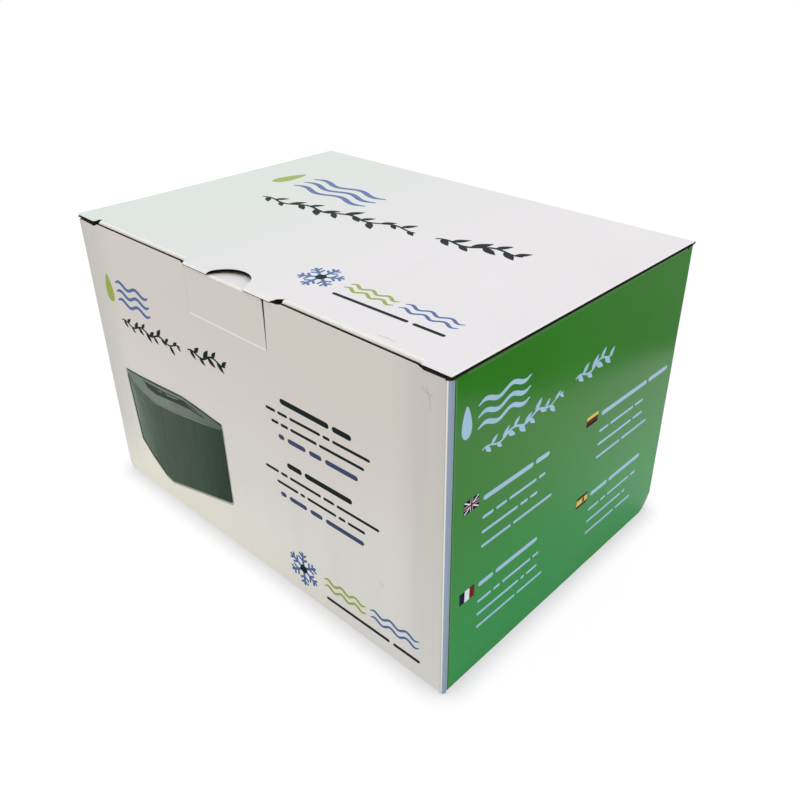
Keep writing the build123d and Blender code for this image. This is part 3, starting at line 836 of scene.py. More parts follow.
# A thin ragged strip of the painted highlight marks the crease at the tab's foot.
crease = Build()
shape = [Vector((TAB_LEFT + (TAB_RIGHT - TAB_LEFT) * k / 40, TAB_FOOT + 0.5 + ragged(k, 0.9, 0))) for k in range(41)]
shape += [Vector((p.x, TAB_FOOT - 0.45 + ragged(k, 0.8, 9))) for k, p in enumerate(shape[::-1])]
plate(crease, front, [shape], (), -0.4, 0.1, 2.0)
CREASE_Z = TOP + TAB_FOOT
piece = crease.make("lock_crease", fold_highlight)
bending(piece, (0, FRONT, CREASE_Z - 0.4), (0, FRONT, CREASE_Z + 0.4))

# ---------------------------------------------------------------- the bottom and the glue flap
UNDER_IN, WALL_IN = 2.3, 1.55
under = Face((LEFT, BACK, 0), X, -Y)
board("bottom_flap_front", under, rect(UNDER_IN, DEEP / 2 + 0.2, WIDE - UNDER_IN, DEEP - FOOT_FOLD), BOARDS)
board("bottom_flap_back", under, rect(UNDER_IN, FOOT_FOLD, WIDE - UNDER_IN, DEEP / 2 - 0.2), BOARDS)
for name, x, sign in (("bottom_flap_left", 0, 1), ("bottom_flap_right", WIDE, -1)):
    board(name, Face((LEFT, BACK, BOARD), X, -Y), outline(
        (x + sign * WALL_IN, 1.6), (x + sign * 75, 16, 6), (x + sign * 75, DEEP - 16, 6),
        (x + sign * WALL_IN, DEEP - 1.6)), BOARDS)
IN = 1.2
for name, start, end, first, mats, slot in (
        ("front", (LEFT + IN, FRONT, 0), (RIGHT - IN, FRONT, 0), -Y, (paper, brown), "white_board"),
        ("back", (LEFT + IN, BACK, 0), (RIGHT - IN, BACK, 0), Y, (paper, brown), "white_board"),
        ("right", (RIGHT, FRONT + IN, SIDE_BASE), (RIGHT, BACK - IN, SIDE_BASE), X, (green, brown), "green_board"),
        ("left", (LEFT, FRONT + IN, SIDE_BASE), (LEFT, BACK - IN, SIDE_BASE), -X, (green, brown), "green_board")):
    name = "bottom_fold_" + name
    carried(fold(name, start, end, first, -Z, mats, radius=FOOT_FOLD, seed=len(name) * 1.7), slot=slot)
GLUE_END = 31.6
board("glue_flap", Face((LEFT + BOARD, BACK, TOP), -Y, Z), outline(
    (FOLD, SIDE_FOOT + 2), (GLUE_END, SIDE_FOOT + 12), (GLUE_END, SIDE_TOP - 12), (FOLD, SIDE_TOP - 2)), BOARDS,
    slot="kraft_board")

# ---------------------------------------------------------------- the print
photo_front = photo_print("front", (0.0, (96, 114, 100)), (0.1, (88, 106, 92)), (0.26, (70, 90, 74)),
                          (0.45, (64, 84, 66)), (0.7, (50, 74, 56)), (0.88, (32, 62, 44)), (1.0, (14, 46, 26)))
photo_side = photo_print("side", (0.0, (120, 138, 122)), (0.09, (98, 118, 102)), (0.22, (68, 92, 74)))
photo_top = photo_print("top", (0.0, (116, 134, 124)), (0.35, (128, 140, 130)), (0.7, (112, 124, 116)),
                        (1.0, (90, 104, 96)), streak=0.12)


def emblem(u, v):
    """The snow crystal, its two waves and the small line under them."""
    calm = (2, 4.2, 2.2, 3, 1.6)
    return [(blue_ink, flake((u, v), 11.0, 1.5, 30) + ripples((u + 47, v - 0.2), (u + 77.5, v + 1.2), *calm)),
            (dark_ink, [arc((u, v), 2.6, 0, 360, 20)[:-1]]),
            (lime_ink, ripples((u + 15.5, v - 0.8), (u + 44, v - 0.2), *calm)),
            (dark_ink, words((u + 16.5, v - 8.2), (u + 78, v - 7.2), 1.7, (13, 5), 2.4))]


# The printed picture of a cool bag, in millimetres from the top left of the panel.
BAG_BODY = outline((21.5, -87.5), (22.6, -103.3), (25.1, -131.2, 2), (33.7, -139.3), (45.5, -147.6, 3), (51.6, -149.0),
                   (112.0, -133.2, 1.5), (112.1, -85.4, 1))
BAG_SIDE = outline((21.7, -89.0), (25.3, -131.0, 2), (44.5, -147.0, 2), (36.4, -124.9), (30.8, -103.3))
BAG_LID = [(21.4, -85.3), (37.2, -85.0), (77.8, -81.4), (90.8, -82.3), (112.3, -84.1), (111.9, -86.1), (93.6, -89.8),
           (68.2, -94.2), (47.8, -96.4), (33.8, -93.6), (26.3, -91.0)]
BAG_MOUTH = [(39.2, -86.2), (58.4, -85.2), (78.7, -83.0), (88.8, -83.8), (95.8, -85.5), (82.6, -86.3), (64.4, -88.5),
             (50.1, -90.5), (42.1, -89.4)]
# Its pen lines: each number of a line is how far right, how far up and how thick.
BAG_SEAMS = (
    ((21.7, -85.1, 0.7), (36.2, -84.5, 0.9), (54.5, -83.2, 1.2), (77.8, -80.9, 0.7), (90.9, -81.8, 1.0),
     (103.9, -83.0, 0.8), (112.2, -83.8, 1.2)),
    ((38.2, -86.0, 0.5), (45.2, -87.2, 1.7), (56.4, -85.6, 0.9), (65.4, -87.5, 1.5), (77.7, -84.3, 2.0),
     (88.7, -85.7, 1.2), (96.7, -86.0, 0.4)),
    ((111.9, -85.6, 0.9), (112.0, -100.4, 1.2), (112.2, -117.8, 0.8), (112.0, -132.2, 1.0)),
    ((21.9, -89.0, 0.7), (23.2, -107.4, 0.9), (24.9, -130.8, 1.2), (34.1, -139.3, 0.8), (45.7, -147.4, 0.6)))
BAG_LIGHTS = (
    ((27.3, -91.6, 0.3), (35.8, -94.5, 0.7), (47.8, -97.0, 0.9), (68.1, -94.8, 0.7), (93.6, -90.4, 0.7),
     (111.3, -86.8, 0.3)),
    ((41.2, -86.9, 0.4), (60.4, -86.2, 0.8), (78.7, -83.9, 0.7), (93.7, -85.3, 0.4)),
    ((28.6, -96.1, 0.3), (31.9, -100.7, 0.9), (36.4, -102.5, 0.2)))


def pen(*runs):
    """Strokes from runs of (u, v, width)."""
    return [stroke([p[:2] for p in run], [p[2] for p in run]) for run in runs]


def front_print(label, face):
    printed(f"print_{label}_heading", face,
            (lime_ink, [drop((20.1, -35.9), 7.0, 16.0, -0.05)]),
            (blue_ink, ripples((27.8, -40.7), (59.4, -41.0), 3, 5.0, 2.6, 2, 2.1)),
            (dark_ink, sprig((27.7, -53.0), (84.0, -50.7), 10, 15, 1.0)
             + sprig((91.1, -49.3), (122.3, -45.9), 11.5, 8, 1.1)))
    printed(f"print_{label}_picture", face,
            (soft_ink, [inset(BAG_BODY, -1.3), inset(BAG_LID, -0.7)]), (photo_front, [BAG_BODY]),
            (photo_side, [BAG_SIDE]), (photo_top, [BAG_LID]), (deep_ink, [BAG_MOUTH]),
            (sage_ink, pen(*BAG_LIGHTS)), (deep_ink, pen(*BAG_SEAMS)))
    printed(f"print_{label}_text", face,
            (dark_ink, words((162.2, -49.0), (208.0, -49.0), 2.9, (11, 4), 2.0)
             + words((163.4, -83.3), (206.7, -82.6), 2.9, (3, 9), 2.0)),
            (dark_ink, words((151.4, -56.2), (218.7, -55.3), 1.5, (3, 3, 9, 2, 10))
             + words((154.8, -62.0), (215.1, -61.2), 1.5, (2, 2, 7, 11))
             + words((146.9, -90.6), (222.9, -89.4), 1.5, (4, 2, 9, 3, 11))
             + words((154.6, -96.4), (214.1, -95.6), 1.5, (7, 1.5, 9, 2, 5))),
            (sky_ink, words((159.1, -68.9), (211.0, -68.1), 2.5, (1, 3, 2, 5), 2.4)
             + words((156.4, -103.0), (213.2, -102.3), 2.5, (1, 3, 2, 6), 2.4)))
    printed(f"print_{label}_emblem", face, *emblem(168.2, -144.5))


def flag(kind, u, v, wide=9.6, tall=6.3):
    """The layers of a small national flag, its lower left corner at u, v."""
    u1, v1, mid_u, mid_v = u + wide, v + tall, u + wide / 2, v + tall / 2
    if kind == "crosses":
        slanted = pen(*(((u + 0.4, a, 0.6), (u1 - 0.4, b, 0.6)) for a, b in ((v + 0.3, v1 - 0.3), (v1 - 0.3, v + 0.3))))
        broad, thin = ([rect(mid_u - half, v, mid_u + half, v1), rect(u, mid_v - half, u1, mid_v + half)]
                       for half in (0.72, 0.5))
        return [(navy_ink, [rect(u, v, u1, v1)]), (white_ink, slanted), (white_ink, broad), (red_ink, thin)]
    if kind == "upright":
        inks = enumerate((navy_ink, white_ink, red_ink))
        return [(mat, [rect(u + wide * k / 3, v, u + wide * (k + 1) / 3, v1)]) for k, mat in inks]
    if kind == "bands":
        inks = enumerate((black_ink, red_ink, gold_ink))
        return [(mat, [rect(u, v + 1.8 * k, u1, v + 1.8 * (k + 1))]) for k, mat in inks]
    return [(maroon_ink, [rect(u, v, u1, v1)]), (gold_ink, [rect(u, v + tall * 0.24, u1, v + tall * 0.76)]),
            (maroon_ink, [capsule((u + 6.0, v + 2.5), (u + 6.0, v + 3.8), 1.6)])]


def side_print(label, face):
    # The side's print is white, painted in cool shade.
    heading = [drop((10.1, -23.7), 5.6, 14.5, -0.02)] + ripples((16.7, -29.6), (49.8, -29.7), 3, 5.2, 2.6, 2, 2.2)
    heading += sprig((20.0, -41.4), (75.0, -39.2), 10.5, 15, 1.1) + sprig((83.9, -36.8), (113.8, -33.9), 12, 8, 1.2)
    printed(f"print_{label}_heading", face, (shaded_white_ink, heading), slot="green_board")
    lines = []
    for u, v, runs in (
            (22.2, -65.1, ((46, 2.5, (10, 3)), (44, 1.5, (3, 3, 8, 2)), (39, 1.5, (9, 2, 2)), (51, 1.5, (7, 10)))),
            (21.6, -111.3, ((43, 2.5, (3, 9)), (45.5, 1.5, (4, 2, 9, 2)), (45, 1.5, (11, 1, 3)), (50, 1.5, (10, 7)))),
            (110.7, -65.5, ((65, 2.5, (13, 6)), (42, 1.5, (3, 8, 3)), (43, 1.5, (10, 3)), (49, 1.5, (8, 9)))),
            (110.0, -112.5, ((49, 2.5, (5, 10)), (47, 1.5, (4, 2, 9, 2)), (38, 1.5, (11, 1)), (45, 1.5, (11, 6))))):
        for k, (wide, thick, shares) in enumerate(runs):
            low = v - (2.2 + 7.7 * k if k else 0)
            lines += words((u, low), (u + wide, low - 0.02 * wide), thick, shares, 1.7)
    printed(f"print_{label}_text", face, (shaded_white_ink, lines), slot="green_board")
    for kind, u, v in (("crosses", 9.9, -67), ("upright", 9.3, -115), ("bands", 97.7, -67.6), ("stripes", 97.4, -115)):
        printed(f"print_{label}_flag_{kind}", face, *flag(kind, u, v), slot="green_board")


printed("print_lid_heading", lid, (lime_ink, [drop((30.6, 120.4), 8.5, 23, 0.12)]),
        (blue_ink, ripples((43.6, 112.4), (104, 111.9), 3, 8.0, 4.2, 2, 3.3)),
        (dark_ink, sprig((48, 85.2), (152.8, 100.2), 16.5, 17, 1.7) + sprig((166, 98.2), (211.3, 109.9), 18.5, 8, 1.8)),
        body="lid")
printed("print_lid_emblem", lid, *emblem(160.5, 29.4), body="lid")
front_print("front", front)
front_print("back", back)
side_print("right", right)
side_print("left", left)


def crush(corner, reach, push):
    """Blunts a corner of the carton: what is near it goes in and up."""
    spot, way = Vector(corner) * MM, Vector(push) * MM
    for made in MADE:
        for vertex in made.data.vertices:
            near = 1 - (vertex.co - spot).length / (reach * MM)
            if near > 0:
                vertex.co += way * near ** 1.5
        made.data.update()


crush((RIGHT, BACK, 0), 11, (-1.6, -1.9, 1.9))
crush((LEFT, FRONT, 0), 7, (1.0, 1.0, 0.6))
printed("print_front_scuffs", front, (crease_shade_and_scuff_grey, pen(
    ((246.5, -9.0, 0.15), (249.5, -10.6, 0.35), (252.5, -11.4, 0.15)),
    ((249.0, -8.0, 0.15), (250.5, -12.0, 0.35), (251.0, -17.0, 0.15)),
    ((222, -118, 0.15), (223.5, -119.4, 0.35), (225.0, -120, 0.15)))))
printed("print_lid_scuff", lid, (crease_shade_and_scuff_grey, pen(((218, 6.0, 0.1), (223, 6.6, 0.3), (228, 6.2, 0.1)))), body="lid")

# ---------------------------------------------------------------- the bag
bag_cloth = cloth("bag_nylon_green", 38, 74, 56)
bag_top = cloth("bag_nylon_top", 44, 82, 63)
zip_tape = cloth("zip_tape_weave", 34, 44, 40, weave=1.2)
bind_tape = webbed("binding_black", 30, 34, 33, rib=1.1)
strap_web = webbed("webbing_black", 28, 32, 31, rib=1.7)
thread = moulded("thread_grey_green", 120, 150, 132, rough=0.7)
zip_black = moulded("zip_teeth_dark", 36, 40, 40)
stiff_mat = moulded("stiffener_grey", 86, 90, 92, rough=0.6)
gel_mat = moulded("gel_film_blue", 120, 168, 206, rough=0.2)
nickel = plated("zip_nickel", 168, 170, 174)
foam_mat = spongy("foam_pale", 214, 216, 212)
film = foil("lining_film", 206, 210, 212)


def round_rect(half_wide, half_deep, corner, per_corner=9, per_side=(26, 17)):
    """Points round a rounded rectangle, counterclockwise from its right side, with the way out at each."""
    made = []
    for side, (reach, half) in enumerate(((half_wide, half_deep), (half_deep, half_wide)) * 2):
        out, half = toward(90 * side), half - corner
        along, count = left_of(out), per_side[1 - side % 2]
        made += [(out * reach + along * half * (2 * m / count - 1), out) for m in range(count)]
        for way in (toward(90 * (side + m / per_corner)) for m in range(per_corner)):
            made.append((out * (reach - corner) + along * half + way * corner, way))
    return made


def loft(rings):
    """A closed skin through rings of equal size."""
    size, count, build = len(rings[0]), len(rings), Build()
    hub, last = size * count, size * (count - 1)
    caps = [(hub, (m + 1) % size, m) for m in range(size)]
    caps += [(hub + 1, last + m, last + (m + 1) % size) for m in range(size)]
    middles = [sum(ring, Vector((0, 0, 0))) / size for ring in (rings[0], rings[-1])]
    build.add([p for ring in rings for p in ring] + middles, (quads(count, size) + caps, 0))
    return build


def shell(name, slot, mat, half_wide, half_deep, corner, low, high, thick, give, seed):
    """A soft open-topped bag: walls that bow and wrinkle, with a floor."""
    foot, levels, turns = 4.0, 22, 4
    outside = round_rect(half_wide, half_deep, corner)
    inside = round_rect(half_wide - thick, half_deep - thick, max(2.0, corner - thick))

    def soft(p, z):
        hold = math.sin(math.pi * clamp((z - low) / (high - low))) ** 0.7
        billow = noise.noise(Vector((p.x * 0.02 + seed, p.y * 0.02, z * 0.035)))
        crease = abs(noise.noise(Vector((p.x * 0.045, p.y * 0.045 + seed, z * 0.012))))
        return give * hold * (1.4 * billow - 1.1 * crease)

    def curve(plan, lift):
        """Rings of a rounded foot, upwards."""
        turned_by = ((1 - t.y, 1 - t.x) for t in (toward(90 * k / turns) for k in range(turns + 1)))
        return [[Vector((*(p - way * foot * back_by), low + lift + (foot - lift) * up)) for p, way in plan]
                for back_by, up in turned_by]

    def wall(plan):
        """Rings of a wall, upwards. Both walls wrinkle as the outer one does."""
        heights = (low + foot + (high - low - foot) * k / levels for k in range(1, levels + 1))
        return [[Vector((*(q + way * soft(p, z)), z)) for (p, _), (q, way) in zip(outside, plan)]
                for z in heights]

    rings = curve(outside, 0) + wall(outside) + wall(inside)[::-1] + curve(inside, thick)[::-1]
    carried(loft(rings).make(name, mat, sharp=60), name, slot=slot)


def stitches(build, points, pitch=3.6, long=2.3, thick=0.5, lift=0.18):
    """Sewing stitches, in the build's second material, along a run of (place, way out)."""
    tips = [(0, 3, 2), (0, 4, 3), (0, 5, 4), (0, 2, 5), (1, 6, 7), (1, 7, 8), (1, 8, 9), (1, 9, 6)]
    sides = [(2, 3, 7, 6), (3, 4, 8, 7), (4, 5, 9, 8), (5, 2, 6, 9)]
    at = 0.0
    for (a, out), (b, _) in zip(points, points[1:]):
        run = (b - a).length
        if run < 1e-6:
            continue
        way = (b - a) / run
        side, up = way.cross(out).normalized() * thick / 2, out * thick / 2
        while at < run:
            middle = a + way * at + out * lift
            ring = [middle + side * c + up * d for c, d in ((1, -0.2), (0.5, 0.8), (-0.5, 0.8), (-1, -0.2))]
            ends = [middle + way * half - up * 0.9 for half in (-long / 2, long / 2)]
            build.add(ends + [p + way * long * by for by in (-0.3, 0.3) for p in ring], (tips + sides, 1))
            at += pitch
        at -= run


def settled(piece, pressure, cap, held=(), slack=0.01, steps=14):
    """Lets a skin settle as slack cloth pushed out from inside, no point further than the cap in millimetres.
    Gives its new places."""
    start = [vertex.co.copy() for vertex in piece.data.vertices]
    group = piece.vertex_groups.new(name="held")
    group.add(list(held), 1.0, "REPLACE")
    fabric = piece.modifiers.new("settle", "CLOTH")
    rules = fabric.settings
    rules.quality, rules.mass, rules.shrink_min = 5, 0.15, -slack
    rules.tension_stiffness = rules.compression_stiffness = rules.shear_stiffness = 12
    rules.bending_stiffness = 0.4
    rules.use_pressure, rules.uniform_pressure_force = True, pressure
    rules.effector_weights.gravity = 0
    if held:
        rules.vertex_group_mass = "held"
    fabric.collision_settings.use_collision = False
    for step in range(1, steps + 1):
        bpy.context.scene.frame_set(step)
    moved = piece.evaluated_get(bpy.context.evaluated_depsgraph_get())
    places = []
    for old, vertex in zip(start, moved.data.vertices):
        shift = vertex.co - old
        places.append(old + shift * min(1.0, cap * MM / max(shift.length, 1e-9)))
    piece.modifiers.remove(fabric)
    piece.vertex_groups.remove(group)
    bpy.context.scene.frame_set(1)
    return places


def skin(name, face, shape, low, high, step, slot, *mats, cuts=(), runs=()):
    """A thin soft piece on a face, with runs of stitches."""
    build = Build()
    plate(build, face, [shape], cuts, low, high, step)
    for run in runs:
        stitches(build, run)
    carried(build.make(name, *mats), name, slot=slot)


BAG_WIDE, BAG_DEEP, BAG_CORNER = 122.0, 82.0, 18.0
shell("bag_shell", "shell_fabric", bag_cloth, BAG_WIDE - 0.6, BAG_DEEP - 0.6, BAG_CORNER, 3.5, 130.3, 1.2, 1.0, 3.0)
shell("bag_lining", "lining_fabric", film, 108.0, 68.0, 8.0, 18.8, 120.2, 0.6, 0.25, 8.0)

# Top panels: a slack sheet held at the zip and the rim, and pushed up by the foam, gives their folds.
CELL, HELD, ZIP_HELD = 4.0, 7, 11
columns, rows = (int(2 * w / CELL) + 1 for w in (BAG_WIDE, BAG_DEEP))
grid = [(CELL * i, CELL * j) for i in range(columns) for j in range(rows)]
build = Build()
build.add([Vector((u, v, 0.15 * noise.noise(Vector((u * 0.08, v * 0.11, 6.0))))) for u, v in grid],
          (other_way(quads(columns, rows, False)), 0))
sheet = build.make("settling_sheet", bag_top)
MADE.remove(sheet)
held = [k for k, (u, v) in enumerate(grid) if u < HELD or u > 2 * BAG_WIDE - HELD or v < HELD or v > 2 * BAG_DEEP - HELD
        or abs(v - BAG_DEEP) < ZIP_HELD]
heights = [place.z / MM for place in settled(sheet, 0.5, 6.0, held)]
bpy.data.objects.remove(sheet)


def folds(u, v):
    """Height of the settled sheet between its points."""
    i, j = (int(clamp(w / CELL, 0, n - 2)) for w, n in ((u, columns), (v, rows)))
    s, t = u / CELL - i, v / CELL - j
    a, b, c, d = (heights[k * rows + m] for k in (i, i + 1) for m in (j, j + 1))
    return (a * (1 - t) + b * t) * (1 - s) + (c * (1 - t) + d * t) * s


def puff(u, v):
    """The foam's swell under a top panel, with its folds."""
    x, y = abs(u - BAG_WIDE) / BAG_WIDE, abs(v - BAG_DEEP)
    rise = 0.5 * math.sin(math.pi * clamp((y - 9.0) / 72.0)) ** 0.8 * max(0.0, 1 - x ** 6)
    return max(-0.2, rise + 0.8 * folds(u, v))


bag_face = Face((-BAG_WIDE, -BAG_DEEP, 131.2), X, Y, puff)
whole = [p + Vector((BAG_WIDE, BAG_DEEP)) for p, _ in round_rect(BAG_WIDE - 1, BAG_DEEP - 1, BAG_CORNER - 1)]
zip_cut = rect(BAG_WIDE - 112, BAG_DEEP - 9, BAG_WIDE + 112, BAG_DEEP + 9, 3)
for name, v0, sign in (("top_panel_front", BAG_DEEP, -1), ("top_panel_back", -9, 1)):
    skin(name, bag_face, whole, -0.9, 0.0, 4.0, "shell_fabric", bag_top, thread,
         cuts=[rect(-9, v0, 2 * BAG_WIDE + 9, v0 + BAG_DEEP + 9), zip_cut],
         runs=[[(bag_face.at(BAG_WIDE - 110 + 220 * k / 59, BAG_DEEP + sign * off), Z) for k in range(60)]
               for off in (10.2, 12.0)])

tape_face = Face((-BAG_WIDE, -BAG_DEEP, 130.75), X, Y, rippled(0.12, 0.05, 0.2, 1.0))
for name, v0, v1 in (("zip_tape_front", -9.6, -0.2), ("zip_tape_back", 0.2, 9.6)):
    skin(name, tape_face, rect(BAG_WIDE - 112.5, BAG_DEEP + v0, BAG_WIDE + 112.5, BAG_DEEP + v1), -0.5, 0.0, 3.0,
         "binding_tape", zip_tape)

# The binding round the top edge. Its section is how far out and how high.
section = ((0.0, 124.6), (0.25, 126.0), (0.3, 129.6), (-0.1, 131.2), (-1.2, 132.0), (-2.8, 132.1), (-5.2, 131.9),
           (-5.5, 131.6), (-4.6, 131.0), (-1.6, 130.9), (-0.9, 129.8), (-0.9, 124.9), (-0.4, 124.5))
plan = round_rect(BAG_WIDE + 0.9, BAG_DEEP + 0.9, BAG_CORNER + 0.9, 10, (60, 38))
points = []
for p, way in plan:
    ease = 0.25 * noise.noise(Vector((p.x * 0.05, p.y * 0.05, 0.0)))
    points += [Vector((*(p + way * (n + ease * 0.6)), z + ease * (0.4 if z > 126 else 1.4))) for n, z in section]
build = Build()
build.add(points, ([[i % len(points) for i in face] for face in other_way(quads(len(plan) + 1, len(section)))], 0))
plan.append(plan[0])
stitches(build, [(Vector((*(p + way * 0.3), 126.6)), Vector((*way, 0))) for p, way in plan])
stitches(build, [(Vector((*(p - way * 4.4), 131.95)), Z) for p, way in plan])
carried(build.make("rim_binding", bind_tape, thread), "rim_binding", slot="binding_tape")

# The carry strap goes up the right side, over the top with a sag, and down the left side.
STRAP_HALF, STRAP_Y, STRAP_OUT, STRAP_TOP, STRAP_BEND, STRAP_LOW, STRAP_SAG = 12.5, 42.0, 124.3, 142.4, 10.0, 60, 4.6
span, bend_z = STRAP_OUT - STRAP_BEND, STRAP_TOP - STRAP_BEND
side = [(STRAP_OUT + 0.5 * math.sin(math.pi * k / 12), STRAP_LOW + (bend_z - STRAP_LOW) * k / 12) for k in range(12)]
side += [tuple(p) for p in arc((span, bend_z), STRAP_BEND, 0, 90, 8)]
over = [(span * (1 - 2 * t), STRAP_TOP - STRAP_SAG * math.sin(math.pi * t) ** 1.3) for t in (k / 30 for k in range(1, 30))]
path = side + over + [(-x, z) for x, z in side[::-1]]
WEB = ((-1, -0.45), (-0.97, 0.15), (-0.9, 0.45), (-0.45, 0.62), (0, 0.66), (0.45, 0.62), (0.9, 0.45), (0.97, 0.15),
       (1, -0.45), (0.9, -0.62), (0, -0.62), (-0.9, -0.62))
rings = []
for k, (x, z) in enumerate(path):
    (x0, z0), (x1, z1) = path[max(0, k - 1)], path[min(len(path) - 1, k + 1)]
    out = Vector((z1 - z0, 0, x0 - x1)).normalized()
    lean = 1.2 * noise.noise(Vector((k * 0.11, 4, 0)))
    rings.append([Vector((x, STRAP_Y + lean + y * STRAP_HALF, z)) + out * w for y, w in WEB])
carried(loft(rings).make("carry_strap", strap_web, sharp=50), "carry_strap", slot="webbing")

border = dense([(-15.8, 56.8), (15.8, 56.8), (15.8, 97.2), (-15.8, 97.2)], 6)
box = [(-10, 62), (10, 62), (10, 92), (-10, 92), (-10, 62), (10, 92)]
for name, sign in (("strap_patch_left", -1), ("strap_patch_right", 1)):
    face = Face((sign * 122.1, STRAP_Y, 0), Y * sign, Z, rippled(0.3, 0.08, 0.08, 3.0))
    skin(name, face, rect(-17.5, 55, 17.5, 99, 3), -0.6, 0.9, 4.0, "shell_fabric", bag_top, thread,
         runs=[[(face.at(u, v, w), face.out) for u, v in run]
               for run, w in ((border + border[:1], 0.9), (box, 2.95), ([(-10, 92), (10, 62)], 2.95))])


# ---------------------------------------------------------------- foam, cold packs and lining
def in_corner(p):
    """A place drawn in to the bag's rounded corners."""
    past_x, past_y = abs(p.x) - BAG_WIDE + BAG_CORNER, abs(p.y) - BAG_DEEP + BAG_CORNER
    if min(past_x, past_y) <= 0:
        return p
    pull = max(past_x, past_y) / math.hypot(past_x, past_y) - 1
    return p + Vector((math.copysign(past_x, p.x), math.copysign(past_y, p.y), 0)) * pull


def pad(name, material, slot, crown, corner, cells=7.0, seam=False):
    """A stuffed or foam slab in its solid's place: crowned sides, soft edges, and a welded seam where it has one."""
    lo, hi = (Vector(c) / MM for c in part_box(name))
    size, middle = hi - lo, (lo + hi) / 2
    thin = min(range(3), key=lambda i: size[i])
    a, b = [i for i in range(3) if i != thin]
    cells_a, cells_b = (max(6, int(size[i] / cells)) for i in (a, b))
    flat, wander = (0.12, 0.5) if seam else (0.55, 0.15)
    top, under = [], []
    for i in range(cells_a + 1):
        for j in range(cells_b + 1):
            s, t = (math.copysign(abs(at) ** 0.85, at) for at in (2 * i / cells_a - 1, 2 * j / cells_b - 1))
            waist = 1 - 0.024 * (s * s * (1 - t * t) + t * t * (1 - s * s))
            soft = min(1.0, (1 - abs(s)) * size[a] / 2 / corner, (1 - abs(t)) * size[b] / 2 / corner)
            height = flat + (1 - flat) * math.sin(math.pi / 2 * max(0.0, soft)) ** 0.7
            up = size[thin] / 2 * height * (1 - crown / size[thin] * (s * s + t * t) * 0.5)
            if height > flat + 0.05:
                up += noise.noise(Vector((s * 3, t * 3, size[a] * 0.1))) * wander
            for skin, way in ((top, 1), (under, -1)):
                point = middle.copy()
                point[a] += s * size[a] / 2 * waist
                point[b] += t * size[b] / 2 * waist
                point[thin] += way * min(up, size[thin] / 2)
                skin.append(in_corner(point))
    wide, count = cells_b + 1, len(top)
    flip = -1 if (X, Y, Z)[a].cross((X, Y, Z)[b])[thin] < 0 else 1
    upper = [face[::flip] for face in other_way(quads(cells_a + 1, wide, False))]
    lower = [tuple(i + count for i in face[::-1]) for face in upper]
    rim = [i * wide for i in range(cells_a)] + [cells_a * wide + j for j in range(cells_b)]
    rim += [i * wide + cells_b for i in range(cells_a, 0, -1)] + list(range(cells_b, 0, -1))
    sides = [(k, m, m + count, k + count)[::-flip] for k, m in zip(rim, rim[1:] + rim[:1])]
    build = Build()
    build.add(top + under, (upper + lower + sides, 0))
    piece = build.make(name, material, sharp=70)
    if seam:
        for vertex, place in zip(piece.data.vertices, settled(piece, 1.0, 3.0, slack=0.02)):
            vertex.co = [clamp(c, low * MM, high * MM) for c, low, high in zip(place, lo, hi)]
        piece.data.update()
    carried(piece, name, slot=slot)


for name in ("base", "front", "back", "left", "right", "top_front", "top_back"):
    pad("insulation_" + name, foam_mat, "foam", 0.8, 2.0)
for name in ("cold_pack_front", "cold_pack_back"):
    pad(name, gel_mat, "gel_pack", 6.0, 16.0, 4.0, True)
for name in ("top_lining_front", "top_lining_back"):
    lo, hi = (Vector(c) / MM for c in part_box(name))
    face = Face((lo.x, lo.y, hi.z), X, Y, rippled(0.25, 0.05, 0.05, 7.0, -0.3))
    skin(name, face, rect(0.3, 0.3, hi.x - lo.x - 0.3, hi.y - lo.y - 0.3, 4), -0.4, 0.0, 5.0, "lining_fabric", film)

# Hard pieces keep their solids' meshes and get a material and soft edges.
for names, material, soft in ((("base_board",), stiff_mat, 0.4), (("zip_teeth_front", "zip_teeth_back"), zip_black, 0.18),
                              (("zip_stop_open", "zip_stop_closed", "zip_slider", "zip_puller"), nickel, 0.18)):
    for node in (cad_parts[name] for name in names):
        for holder in node.material_slots:
            holder.material = material
        soften = node.modifiers.new("soft_edge", "BEVEL")
        soften.width, soften.segments, soften.limit_method = soft * MM, 2, "ANGLE"

# ---------------------------------------------------------------- stage, light, camera
# The floor is white to the camera, darker where it is touched as a painted contact shadow, and as a painted
# reflection in the green side's gloss bright to one side of a slanted line and dim beyond it.
ground = Shade("floor_white")
ground.nodes.remove(ground.bsdf)
near = ground.add("ShaderNodeAmbientOcclusion", {"Distance": 0.013}, samples=8).outputs["AO"]
glow = ground.add("ShaderNodeEmission", {"Strength": ground.span(near, 0.5, 0.96, 0.66, 0.94)}).outputs[0]
seen = ground.add("ShaderNodeAddShader", {0: ground.diffuse((0.10, 0.10, 0.10, 1)), 1: glow}).outputs[0]
slant = ground.add("ShaderNodeVectorMath", {0: ground.where, 1: (1, 0.445, 0)}, operation="DOT_PRODUCT").outputs["Value"]
beyond = ground.band(ground.math("MULTIPLY_ADD", ground.noise(9.0), 0.04, slant), 0.341, 0.366)
dim = ground.span(beyond, 0, 1, 0.85, ground.span(ground.axis("Y"), 0.08, 0.42, 0.09, 0.36))
path = ground.add("ShaderNodeLightPath").outputs
rest = ground.choose(path["Is Glossy Ray"], ground.diffuse((0.93, 0.93, 0.91, 1)), ground.diffuse(dim))
ground.links.new(ground.choose(path["Is Camera Ray"], rest, seen), ground.nodes["Material Output"].inputs["Surface"])
build = Build()
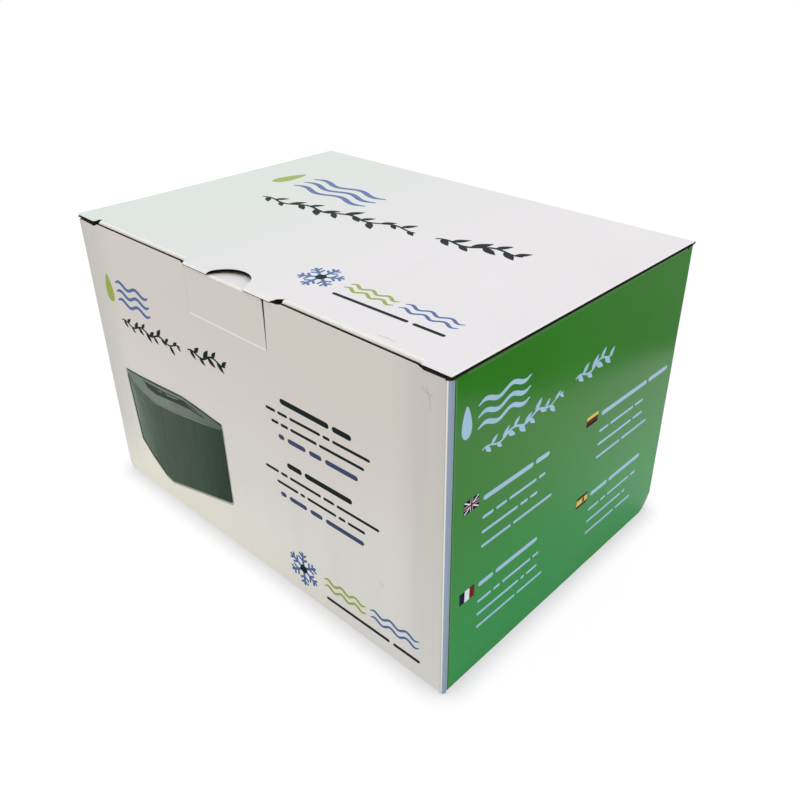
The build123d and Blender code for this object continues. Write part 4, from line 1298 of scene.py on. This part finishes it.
build.add([(x, y, -0.4) for x, y in ((-3000, -3000), (3000, -3000), (3000, 3000), (-3000, 3000))], ([(0, 1, 2, 3)], 0))
build.make("floor", ground.mat)

# The world lights the object softly and is white to the camera, in gloss and through what is clear.
world = bpy.data.worlds.new("studio")
bpy.context.scene.world = world
sky = Tree(world)
dull = sky.nodes["Background"]
dull.inputs["Color"].default_value, dull.inputs["Strength"].default_value = (0.98, 0.99, 1.0, 1), 0.5
white = sky.add("ShaderNodeBackground", {"Color": (1, 1, 1, 1), "Strength": 1.0})
path = sky.add("ShaderNodeLightPath").outputs
direct = sky.math("MAXIMUM", path["Is Camera Ray"], path["Is Glossy Ray"])
direct = sky.math("MAXIMUM", direct, path["Is Transmission Ray"])
sky.links.new(sky.choose(direct, dull.outputs[0], white.outputs[0]), sky.nodes["World Output"].inputs["Surface"])


def sun(name, azimuth, elevation, strength, spread, colour=(1, 1, 1)):
    """A soft sun that shines from that azimuth, where 0 is the front, 90 the right and 180 the back."""
    data = bpy.data.lights.new(name, "SUN")
    data.energy, data.angle, data.color = strength, math.radians(spread), colour
    lamp = bpy.data.objects.new(name, data)
    lamp.rotation_euler = (math.radians(90 - elevation), 0, math.radians(azimuth))
    bpy.context.collection.objects.link(lamp)


sun("key_left_back", -120, 60, 0.95, 60)
sun("fill_front", -15, 30, 0.38, 70, (1.0, 0.95, 0.91))
sun("fill_right", 80, 30, 0.62, 70)

camera_data = bpy.data.cameras.new("camera")
camera_data.lens, camera_data.sensor_width = 36.88, 36
camera_data.shift_x, camera_data.shift_y = -0.0151, -0.0165
camera = bpy.data.objects.new("camera", camera_data)
camera.location = (0.28747, -0.28045, 0.30018)
azimuth, tilt, roll = 42.88, 90 - 30.05, -0.2
turn = Matrix.Identity(4)
for degrees, axis in ((azimuth, "Z"), (tilt, "X"), (roll, "Z")):
    turn = turn @ Matrix.Rotation(math.radians(degrees), 4, axis)
camera.rotation_euler = turn.to_euler()
bpy.context.collection.objects.link(camera)
bpy.context.scene.camera = camera
bpy.context.scene.view_settings.view_transform = "Standard"
